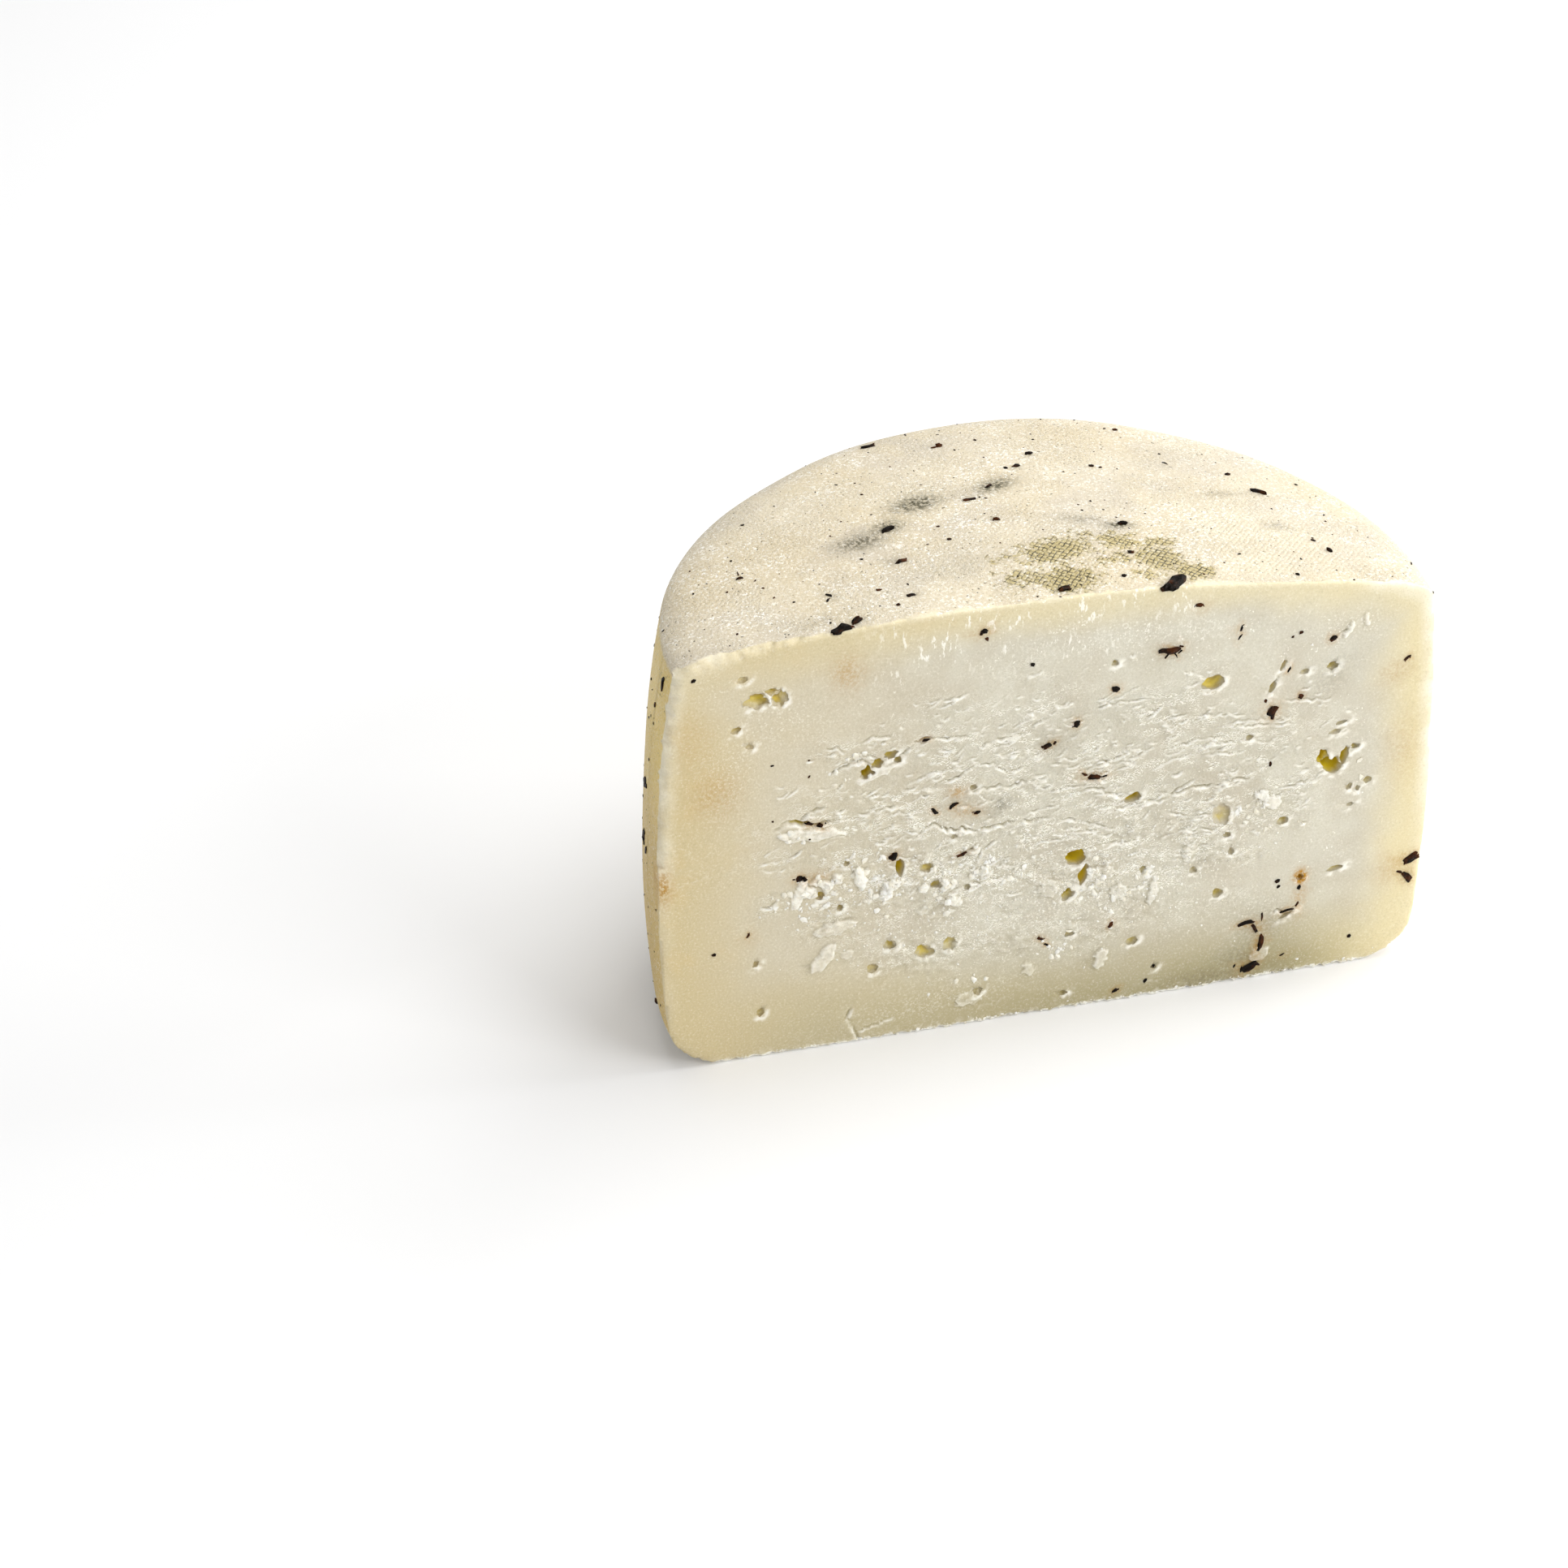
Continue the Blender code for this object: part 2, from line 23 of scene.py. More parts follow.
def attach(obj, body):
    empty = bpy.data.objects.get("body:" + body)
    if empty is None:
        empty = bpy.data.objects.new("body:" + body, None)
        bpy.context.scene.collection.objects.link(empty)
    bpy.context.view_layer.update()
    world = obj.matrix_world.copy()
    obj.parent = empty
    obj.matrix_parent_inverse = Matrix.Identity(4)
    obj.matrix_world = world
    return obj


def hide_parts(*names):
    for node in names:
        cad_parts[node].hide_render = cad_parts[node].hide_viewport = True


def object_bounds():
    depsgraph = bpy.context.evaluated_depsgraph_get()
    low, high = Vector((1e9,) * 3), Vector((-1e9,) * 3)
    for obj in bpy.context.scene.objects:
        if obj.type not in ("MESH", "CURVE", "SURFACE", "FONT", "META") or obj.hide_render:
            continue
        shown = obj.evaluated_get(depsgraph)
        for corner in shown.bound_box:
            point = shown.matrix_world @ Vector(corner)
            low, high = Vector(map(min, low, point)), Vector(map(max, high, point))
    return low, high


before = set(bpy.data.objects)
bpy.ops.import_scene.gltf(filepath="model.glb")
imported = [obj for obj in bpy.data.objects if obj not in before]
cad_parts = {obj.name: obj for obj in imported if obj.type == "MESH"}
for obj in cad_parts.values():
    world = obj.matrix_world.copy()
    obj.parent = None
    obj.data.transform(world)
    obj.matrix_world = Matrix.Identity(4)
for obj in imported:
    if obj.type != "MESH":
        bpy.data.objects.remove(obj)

CAD_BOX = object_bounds()
NODE = "truffle_goat_cheese_half"
ROOT = "root"
MM = 0.001

log = logging.getLogger("goat_cheese")

Colour = tuple[float, float, float]
Grid = np.ndarray
Socket = bpy.types.NodeSocket


def rgb(red: int, green: int, blue: int) -> Colour:
    """A colour given as it looks on a screen, as linear light.

    Args:
        red, green, blue: 0 to 255.

    Returns:
        Linear red, green and blue, 0 to 1.
    """
    def linear(channel: int) -> float:
        """One channel from screen value to linear light."""
        value = channel / 255
        return value / 12.92 if value <= 0.04045 else ((value + 0.055) / 1.055) ** 2.4

    return linear(red), linear(green), linear(blue)


def soft_step(value: Grid, low: float, high: float) -> Grid:
    """Zero below low and one above high, with soft ends."""
    share = np.clip((value - low) / (high - low), 0, 1)
    return share * share * (3 - 2 * share)


def bell(value: Grid, wide: float) -> Grid:
    """One at zero, fading to nothing on both sides."""
    return np.exp(-((value / wide) ** 2))


def turned(across: Grid, up: Grid, degrees: float) -> tuple[Grid, Grid]:
    """Coordinates along and across a line that is turned upwards by some degrees."""
    turn = math.radians(degrees)
    return across * math.cos(turn) + up * math.sin(turn), up * math.cos(turn) - across * math.sin(turn)


class PlaneNoise:
    """Seeded smooth noise over a plane, about -1 to 1."""

    SIZE = 64

    def __init__(self, seed: int) -> None:
        """Draw the slopes of the lattice.

        Args:
            seed: the same seed gives the same noise.
        """
        turns = np.random.default_rng(seed).uniform(0, 2 * math.pi, (self.SIZE, self.SIZE))
        self.slopes = np.stack([np.cos(turns), np.sin(turns)], -1)

    def __call__(self, across: Grid, up: Grid) -> Grid:
        """Noise at places whose lattice cells are one unit wide.

        Args:
            across, up: coordinates of the same shape.

        Returns:
            Values of that shape.
        """
        column, row = np.floor(across).astype(int), np.floor(up).astype(int)
        dx, dz = across - column, up - row
        fx, fz = dx**3 * (dx * (dx * 6 - 15) + 10), dz**3 * (dz * (dz * 6 - 15) + 10)

        def corner(right: int, above: int) -> Grid:
            """The slope at one corner of each cell, carried to the place."""
            slope = self.slopes[(row + above) % self.SIZE, (column + right) % self.SIZE]
            return slope[..., 0] * (dx - right) + slope[..., 1] * (dz - above)

        low = corner(0, 0) + (corner(1, 0) - corner(0, 0)) * fx
        high = corner(0, 1) + (corner(1, 1) - corner(0, 1)) * fx
        return 1.5 * (low + (high - low) * fz)


class Rough(Enum):
    """Noise that breaks up one kind of mark: its seed, and how wide and high its cells are in mm."""

    SWEEP = 11, 34.0, 34.0
    ZONE = 12, 9.0, 6.0
    PLATES = 13, 2.8, 1.7
    SMALL_PLATES = 14, 1.3, 0.9
    LEDGES = 15, 6.0, 2.6
    WAVES = 16, 12.0, 7.0
    EDGE = 17, 1.5, 1.5
    CLUMPS = 18, 9.0, 6.0
    HERD = 19, 8.0, 4.5
    EDGE_FINE = 20, 0.6, 0.6
    TOP_LINE = 71, 2.2, 2.2
    FOOT_CRUMBS = 72, 3.0, 3.0
    EYE_LIP = 73, 1.2, 1.2
    TEAR = 74, 1.9, 1.9
    FOOT_LINE = 75, 0.9, 0.9
    SHARD = 77, 1.4, 1.1
    SHARD_FINE = 78, 0.7, 0.5
    SHARD_WORN = 79, 1.1, 0.8
    LOBES = 80, 1.8, 1.5
    BUMPS = 120, 0.9, 0.8
    LOBES_FINE = 160, 0.7, 0.6

    def over(self, x: Grid, z: Grid, number: int = 0) -> Grid:
        """The noise at places in mm; each number gives another pattern of it."""
        seed, wide, high = self.value
        return PlaneNoise(seed + number)(x / wide, z / high)


# Shape of the wheel and of the cut


@dataclass(frozen=True)
class WheelShape:
    """The whole wheel before it was cut, with the sizes of the frame's solid."""

    rim_radius: float = 62.1 * MM
    belly: float = 2.9 * MM
    belly_at: float = 0.45
    rim_height: float = 74.5 * MM
    dome_rise: float = 5.6 * MM
    foot_corner: float = 8.3 * MM
    rim_wide: float = 7.0 * MM
    rim_high: float = 2.0 * MM
    top_fall: tuple[float, float] = (-2.0 * MM, 0.4 * MM)
    lean: float = 0.35 * MM
    belly_shift: float = -0.4 * MM
    out_of_round: tuple = ((2, 1.48 * MM, math.radians(29)), (3, 1.34 * MM, math.radians(74)))
    dent: float = 0.35 * MM
    dent_span: float = 26 * MM
    cut_at: float = -8.0 * MM
    axis_at: tuple[float, float] = (1.3 * MM, -28.3 * MM)
    side_step: float = 1.3 * MM
    flat_step: float = 2.6 * MM
    dome_step: float = 1.5 * MM
    corner_steps: int = 10
    kept: tuple[float, float] = (math.radians(-14), math.radians(194))
    halvings: int = 24
    fine_turn: float = math.radians(1.2)
    coarse_turn: float = math.radians(6)

    def skin_point(self, radius: float, height: float, angle: float) -> Vector:
        """The point of the skin for one point of the side profile at one angle about the axis.

        Args:
            radius, height: the point of the profile, in metres.
            angle: about the axis, in radians, zero towards the right.

        Returns:
            The point in the wheel's own frame: bulged, out of round, domed, dented and leaning.
        """
        level = height / self.rim_height
        bulge = (level - self.belly_at) / (1 - self.belly_at)
        reach = radius + self.belly * (1 - bulge * bulge) * (radius / self.rim_radius) ** 2
        uneven = sum(size * math.cos(order * (angle - peak)) for order, size, peak in self.out_of_round)
        reach *= 1 + uneven / self.rim_radius
        x, y = reach * math.cos(angle), reach * math.sin(angle)
        crown = max(level - 0.5, 0.0) * 2
        z = height + self.dome_rise * (1 - (radius / self.rim_radius) ** 2) * crown**2
        z += level * (self.top_fall[0] * x + self.top_fall[1] * y) / self.rim_radius
        dent = self.dent * noise.noise(Vector((x, y, z)) / self.dent_span) * min(level * 4, 1)
        x += self.lean * (level - 0.5) + self.belly_shift * 4 * level * (1 - level)
        return Vector((x + dent * math.cos(angle), y + dent * math.sin(angle), z + dent * crown))

    def profile(self) -> list[tuple[float, float]]:
        """Radius and height along the skin, from the middle of the foot to the middle of the top.

        Returns:
            Radius and height of each point, in metres.
        """
        foot, shoulder = self.rim_radius - self.foot_corner, self.rim_height - self.rim_high
        top = self.rim_radius - self.rim_wide
        points = [(foot * share, 0.0) for share in np.linspace(0, 1, round(foot / self.flat_step))[:-1]]
        for turn in np.linspace(0, math.pi / 2, self.corner_steps):
            rise = self.foot_corner * (1 - math.cos(turn))
            points.append((foot + self.foot_corner * math.sin(turn), rise))
        steps = round((shoulder - self.foot_corner) / self.side_step)
        points += [(self.rim_radius, z) for z in np.linspace(self.foot_corner, shoulder, steps)[1:-1]]
        for turn in np.linspace(0, math.pi / 2, self.corner_steps):
            points.append((top + self.rim_wide * math.cos(turn), shoulder + self.rim_high * math.sin(turn)))
        points += [(r, self.rim_height) for r in np.linspace(top, 0, round(top / self.dome_step))[1:]]
        return points

    def angles(self) -> list[float]:
        """Angles about the axis: close together on the kept half, wide apart on the other.

        Returns:
            Angles in radians, once round.
        """
        start, end = self.kept
        fine = np.linspace(start, end, round((end - start) / self.fine_turn))
        rest = 2 * math.pi - (end - start)
        coarse = np.linspace(end, end + rest, round(rest / self.coarse_turn))[1:-1]
        return [*fine, *coarse]

    def mesh(self) -> bpy.types.Mesh:
        """The closed skin of the whole wheel, in the wheel's own frame.

        Returns:
            The mesh: rings of quads, closed by a fan below and one above.
        """
        profile, angles = self.profile(), self.angles()
        count = len(angles)
        points = [self.skin_point(0.0, 0.0, 0.0)]
        for radius, height in profile[1:-1]:
            points += [self.skin_point(radius, height, angle) for angle in angles]
        points.append(self.skin_point(0.0, profile[-1][1], 0.0))
        faces, top = [], len(points) - 1
        for ring in range(len(profile) - 3):
            start = 1 + ring * count
            faces += ring_of_quads(start, start + count, count)
        for i in range(count):
            following = (i + 1) % count
            faces.append((0, 1 + following, 1 + i))
            faces.append((top, top - count + i, top - count + following))
        return mesh_from("wheel_skin", points, faces)

    def cut_outline(self) -> Grid:
        """The closed line where the cut meets the skin, as (x, z).

        Returns:
            The outline's corners in metres, up the right side and down the left.
        """
        sides: dict[int, list[tuple[float, float]]] = {1: [], -1: []}
        for radius, height in self.profile():
            if radius < -self.cut_at:
                continue
            for side, line in sides.items():
                lean = math.asin(-self.cut_at / (radius + self.belly))
                near, far = -lean * 0.3, -lean * 2.2 - 0.05
                for _ in range(self.halvings):
                    middle = (near + far) / 2
                    angle = middle if side > 0 else math.pi - middle
                    point = self.skin_point(radius, height, angle)
                    near, far = (middle, far) if point.y > self.cut_at else (near, middle)
                line.append((point.x, point.z))
        return np.array(sides[1] + sides[-1][::-1])


def ring_of_quads(start: int, next_start: int, count: int) -> list[tuple[int, ...]]:
    """Quads between two closed rings of the same number of points.

    Args:
        start, next_start: the first point of each ring.
        count: how many points a ring has.

    Returns:
        The quads as numbers of points.
    """
    return [
        (start + i, start + (i + 1) % count, next_start + (i + 1) % count, next_start + i)
        for i in range(count)
    ]


def mesh_from(name: str, points: Iterable, faces: Iterable) -> bpy.types.Mesh:
    """A mesh from points and faces, with its faces turned outwards.

    Args:
        name: the mesh's name.
        points, faces: its places, and its faces as numbers of points.

    Returns:
        The mesh.
    """
    mesh = bpy.data.meshes.new(name)
    mesh.from_pydata([tuple(point) for point in points], [], faces)
    body = bmesh.new()
    body.from_mesh(mesh)
    bmesh.ops.recalc_face_normals(body, faces=body.faces)
    body.to_mesh(mesh)
    body.free()
    return mesh


def linked(name: str, mesh: bpy.types.Mesh) -> bpy.types.Object:
    """A new object in the scene for a mesh.

    Args:
        name: the object's name.
        mesh: what it shows.

    Returns:
        The object, at the origin.
    """
    piece = bpy.data.objects.new(name, mesh)
    bpy.context.scene.collection.objects.link(piece)
    return piece


def apply_modifiers(piece: bpy.types.Object) -> None:
    """Replace a piece's mesh by what its modifiers make of it.

    Args:
        piece: the piece, which has no modifier left afterwards.
    """
    graph = bpy.context.evaluated_depsgraph_get()
    mesh = bpy.data.meshes.new_from_object(piece.evaluated_get(graph))
    piece.modifiers.clear()
    piece.data = mesh


def read_from(items: bpy.types.bpy_prop_collection, name: str, kind: type, parts: int = 1) -> Grid:
    """One property of all the items of a collection.

    Args:
        items: the mesh's points, corners or faces.
        name: the property.
        kind: its type as numpy names it.
        parts: how many numbers it has.

    Returns:
        The numbers in one row.
    """
    values = np.empty(len(items) * parts, dtype=kind)
    items.foreach_get(name, values)
    return values


def hold_in_frame(mesh: bpy.types.Mesh) -> None:
    """Hold every point of a mesh inside the frame's box.

    Args:
        mesh: the mesh of a finished piece.
    """
    places = read_from(mesh.vertices, "co", float, 3).reshape(-1, 3)
    mesh.vertices.foreach_set("co", np.clip(places, np.array(CAD_BOX[0]), np.array(CAD_BOX[1])).ravel())
    mesh.update()


@dataclass(frozen=True)
class Eye:
    """A hollow in the paste: its centre, sizes and turn on the cut, in mm and degrees."""

    x: float
    z: float
    wide: float
    high: float
    deep: float
    turn: float = 0.0
    ragged: float = 0.35


@dataclass(frozen=True)
class Tear:
    """A tear on the cut: its line, half width, depth and the lip below it, in mm."""

    line: tuple[tuple[float, float], ...]
    half: float = 0.4
    deep: float = 0.9
    lip: float = 0.35


@dataclass(frozen=True)
class Smear:
    """A lump or smear of curd on the cut: centre, sizes, height and turn, in mm and degrees.

    Its edge strays from an oval by about ragged mm.
    """

    x: float
    z: float
    wide: float
    high: float
    proud: float
    turn: float = 0.0
    ragged: float = 1.0


@dataclass(frozen=True)
class Shard:
    """An angular plate of torn paste on the cut: place, length, width, turn, height and paleness.

    Lengths are in mm, the turn is in degrees and the paleness goes from 0 to 1.
    """

    x: float
    z: float
    long: float
    wide: float
    turn: float
    proud: float
    pale: float

    def outline(self) -> list[tuple[float, float]]:
        """The plate's corners: an uneven hexagon.

        Returns:
            Six corners as (x, z) in mm.
        """
        turn = math.radians(self.turn)
        corners = ((-0.5, 0.1), (-0.25, 0.5), (0.3, 0.4), (0.5, -0.1), (0.1, -0.5), (-0.35, -0.4))
        return [
            (self.x + along * self.long * math.cos(turn) - over * self.wide * math.sin(turn),
             self.z + along * self.long * math.sin(turn) + over * self.wide * math.cos(turn))
            for along, over in corners
        ]


EYES = tuple(Eye(*row) for row in (
    (-50.9, 68.9, 4.4, 2.7, 0.95, 16, 0.7), (-48.5, 70.1, 2.2, 1.3, 1.2, 0, 0.5),
    (-47.2, 68.8, 2.6, 2.7, 0.95, -15, 0.7),
    (-53.3, 73.1, 1.8, 1.2, 0.8, 10), (-54.4, 64, 1.9, 1.2, 0.9, 25, 0.5), (-52.2, 60.6, 1.3, 1, 0.7),
    (-33.2, 52.7, 2.6, 2.2, 2, 40, 0.6), (-31.4, 54.2, 2.2, 1.7, 1.8, 30, 0.5),
    (-29.2, 55.5, 2.4, 1.5, 1.6, 25, 0.6), (-28, 54.3, 1.4, 1.2, 1.2),
    (-40.7, 30.4, 1.7, 1.7, 1.6, 0, 0.2), (-37.3, 27.4, 1.2, 1.2, 1, 60), (-36.3, 35.9, 1.2, 1.1, 0.9),
    (-27.4, 33.6, 1.5, 3.6, 2.2, 3, 0.3), (-22.8, 32.9, 2.3, 2, 1.3, 10, 0.5),
    (-21.3, 29.2, 2, 1.5, 1.4, 0, 0.5), (-15.9, 27.8, 1.2, 1.2, 0.9), (-15.3, 46.9, 1.2, 1.1, 0.9),
    (-18.4, 38.2, 1.3, 1, 0.9), (12, 40.2, 2.9, 1.7, 2, 22, 0.3), (2.6, 30.2, 3.6, 3.4, 3.2, 10, 0.3),
    (4, 26.6, 1.5, 4, 2, -14, 0.3), (1.4, 23.4, 2.6, 2.1, 1.9, 25, 0.6), (14.4, 25.7, 1.3, 1.4, 0.9),
    (23.2, 24, 1.3, 1.2, 0.9), (24.7, 60.1, 3.7, 2.9, 1.5, 12, 0.4), (7.9, 66.4, 1.4, 1, 0.9),
    (36.6, 61.4, 0.9, 2.2, 1.3, -25, 0.4), (35, 57.6, 1, 2.4, 1.3, -20, 0.4),
    (45.2, 59.9, 2, 1.6, 1.3, 20, 0.4), (40.4, 59.6, 1.6, 1, 0.8, 10), (31.5, 48.6, 1.4, 1, 0.9),
    (47.4, 48.8, 2, 0.7, 0.9, 15), (46.4, 47.2, 2.2, 0.9, 0.9, 5), (44.7, 42.6, 2, 3.6, 2.6, 10, 0.6),
    (46.6, 40.6, 3.2, 3.2, 3, 20, 0.5), (48.4, 42.4, 1.4, 3.6, 2.2, -12, 0.5),
    (50.1, 43.8, 1.8, 1.2, 1.2, 20, 0.6), (49.7, 36, 1.3, 1.2, 0.9, 30, 0.5),
    (52.9, 36.7, 1.5, 1.3, 1.1), (51.2, 35.4, 0.9, 1.1, 0.8), (50.1, 32.4, 1.4, 0.7, 0.7, 10),
    (38.3, 31.2, 2, 1.5, 1.4, 8, 0.3), (27.6, 34.4, 3, 4.4, 1.1, 8, 0.4), (28.8, 30.1, 1.4, 1.2, 1),
    (29.6, 26.6, 1.2, 1.2, 0.9), (27.7, 18.6, 2.1, 1.8, 1.2, 30, 0.5),
    (48.4, 19.9, 2.9, 1.2, 1.1, 12, 0.3), (42.3, 19.1, 1.3, 1.2, 1.1), (-51.4, 18.8, 1, 1.5, 0.9, -35),
    (-50.7, 8.9, 1.4, 1.6, 0.8, -20, 0.5), (-28.9, 18.6, 2.6, 1.7, 1.2, -14, 0.6),
    (-23.2, 16.4, 3.2, 2.6, 1.3, -20, 0.6), (-18.7, 17.2, 2.6, 2.4, 1.1, 30, 0.6),
    (-31.8, 14.4, 1.9, 1.9, 0.9, 20, 0.5), (-13.7, 6.5, 1.8, 1.2, 0.7, 20, 0.5),
    (1.9, 15.3, 1.8, 1.1, 1.1, 10), (13, 11.9, 2.2, 1.6, 1.2, 20, 0.4), (1.2, 3.4, 1.6, 1, 0.7, 10),
    (40.1, 12, 2.6, 0.7, 1, 25), (17, 5.9, 1, 0.9, 0.7),
))

TEARS = tuple(Tear(*row) for row in (
    (((-48, 44), (-46, 45), (-43, 44), (-38, 44)), 0.7, 2.0, 0.3),
    (((-39, 53), (-35, 55), (-32, 54)), 0.35, 0.9, 0.3),
    (((-28, 54), (-26, 56), (-23, 57)), 0.3, 0.7, 0.3),
    (((-43.8, 45.2), (-42.4, 46.4), (-40.0, 47.2)), 0.5, 1.1, 0.4),
    (((-39.0, 41.2), (-37.6, 41.6), (-36.2, 41.1)), 0.4, 0.8, 0.4),
    (((-40.4, 57.7), (-38.0, 58.0), (-36.6, 56.8)), 0.35, 0.5, 0.4),
    (((-37.6, 54.0), (-33.8, 54.9), (-32.9, 53.6)), 0.4, 0.7, 0.5),
    (((-26.6, 55.2), (-25.0, 56.8), (-23.4, 57.2), (-19.2, 56.7), (-15.6, 56.6)), 0.4, 0.8, 0.4),
    (((-22.5, 48.4), (-18.8, 48.7), (-16.9, 49.8), (-14.6, 51.4)), 0.4, 0.8, 0.4),
    (((-14.6, 51.0), (-12.0, 50.2), (-9.6, 48.6)), 0.35, 0.6, 0.4),
    (((-16.9, 45.6), (-13.6, 46.2), (-8.2, 45.6), (-5.8, 46.4)), 0.4, 0.7, 0.4),
    (((-25.2, 38.6), (-22.3, 40.8), (-19.0, 39.2), (-14.4, 38.4), (-10.6, 38.6), (-1.2, 38.6)),
     0.45, 0.9, 0.45),
    (((-1.2, 38.4), (2.3, 37.2), (7.8, 35.0)), 0.4, 0.6, 0.4),
    (((-14.8, 31.4), (-13.4, 34.2), (-10.4, 36.6)), 0.4, 0.5, 0.5),
    (((1.0, 42.4), (4.7, 43.0), (6.6, 42.2), (8.8, 41.0), (10.9, 40.6)), 0.4, 0.7, 0.4),
    (((3.0, 47.4), (5.8, 47.9), (8.5, 47.3), (11.2, 47.2)), 0.35, 0.5, 0.4),
    (((16.2, 40.4), (19.6, 39.6), (21.6, 40.2), (25.5, 40.1), (29.4, 40.6), (32.0, 40.4)),
     0.45, 0.9, 0.45),
    (((17.4, 36.6), (21.5, 34.8), (26.4, 34.2)), 0.35, 0.5, 0.4),
    (((2.8, 57.0), (5.3, 58.0), (7.2, 58.6), (14.4, 58.6)), 0.35, 0.45, 0.4),
    (((26.2, 51.2), (32.4, 50.8), (39.6, 50.0)), 0.35, 0.4, 0.3),
    (((24.0, 48.4), (30.2, 48.0), (34.0, 48.2)), 0.35, 0.4, 0.3),
    (((-67.0, 35.9), (-58.0, 37.4), (-48.8, 38.0), (-42.0, 38.6)), 0.24, 0.08, 0.10),
    (((-52.0, 30.6), (-46.0, 31.6), (-41.6, 32.4)), 0.24, 0.08, 0.08),
    (((-54.0, 26.8), (-46.8, 28.2), (-40.6, 28.6)), 0.24, 0.08, 0.07),
    (((37.0, 12.6), (38.6, 13.0), (39.9, 12.2), (42.0, 13.2)), 0.35, 0.7, 0.4),
    (((-35, 7), (-36, 5), (-34, 0)), 0.5, 0.9, 0.6),
    (((-34, 2), (-31, 3), (-28, 4)), 0.35, 0.4, 0.4),
    (((-17.6, 3.0), (-15.0, 4.0), (-11.4, 3.4), (-8.6, 4.3)), 0.24, 0.14, 0.1),
    (((13.0, 2.6), (16.0, 3.3), (18.6, 2.5)), 0.24, 0.14, 0.1),
    (((45.0, 64.6), (47.6, 66.6), (49.6, 68.2)), 0.35, 0.35, 0.35),
    (((34.4, 56.0), (35.4, 58.0), (37.2, 61.0), (36.6, 63.0)), 0.35, 0.6, 0.3),
))

SMEARS = tuple(Smear(*row) for row in (
    (-28.2, 30.8, 1.6, 2, 0.6), (-42.4, 31.4, 1.8, 1.9, 0.6), (-41.4, 33.4, 1.6, 1.4, 0.6),
    (-39.5, 32, 2.2, 1.8, 0.6, 20), (-37.6, 33.3, 1.8, 1.4, 0.6), (-19.8, 28.9, 1.6, 2.2, 0.8),
    (-23.4, 28.7, 1.4, 1.3, 0.6), (-12.9, 30.1, 1.8, 1.6, 0.5), (-15.1, 34.8, 1.9, 1.2, 0.5, 25),
    (-18.8, 25.6, 3, 1.6, 0.4, 10), (34.3, 37, 2.6, 1.6, 0.6, 10), (36.2, 35.4, 3, 2.4, 0.5, -20),
    (-23, 24.6, 3, 1.4, 0.25, 10), (-15, 4.8, 4.6, 1.6, 0.25, 12), (-2, 24.8, 3, 3.6, 0.35, 10),
    (7.2, 26.4, 4, 3.2, 0.35, 0), (10.4, 22.2, 3.4, 2.6, 0.4, 30), (16.2, 21.4, 1.6, 5, 0.45, -12),
    (7.6, 9.6, 2.4, 4, 0.4, -20), (-5, 9.4, 2, 2.6, 0.3, 10), (35.8, 5, 3.6, 2.6, 0.4, 30),
    (22, 27.6, 1.4, 2.8, 0.4, 0), (47.6, 66.4, 0.8, 3.4, 0.45, -35), (50.6, 67.6, 0.8, 2.2, 0.4, 10),
))

SHARDS = tuple(Shard(*row) for row in (
    (-42, 42.5, 12, 2.5, -4, 0.55, 0.55), (-30.5, 52.5, 7, 1.5, 20, 0.3, 0.45),
    (-49, 69, 3, 1, -80, 0.4, 0.9), (-40, 18, 7, 3, 55, 0.5, 0.35), (-38, 23.5, 8, 2.5, 12, 0.4, 0.25),
    (-44, 31.5, 7, 2, 70, 0.55, 0.75), (-40, 32.5, 2, 1.5, -20, 0.5, 0.8), (-38, 34, 1.5, 1, -30, 0.5, 0.8),
    (-34, 32.5, 5.5, 2, -80, 0.8, 0.95),
    (-29.5, 29.5, 4.5, 2, 75, 0.75, 0.95), (-23, 29, 1.5, 1.5, 30, 0.5, 0.85),
    (-20, 29, 2.5, 1, 80, 0.55, 0.85), (-18, 25.5, 3.5, 2, -30, 0.4, 0.6), (-13, 30.5, 2, 1.5, 60, 0.6, 0.9),
    (-15.5, 5.5, 4.5, 2.5, 10, 0.25, 0.15), (-36, 18, 2.5, 2, 40, 0.25, 0.15),
))


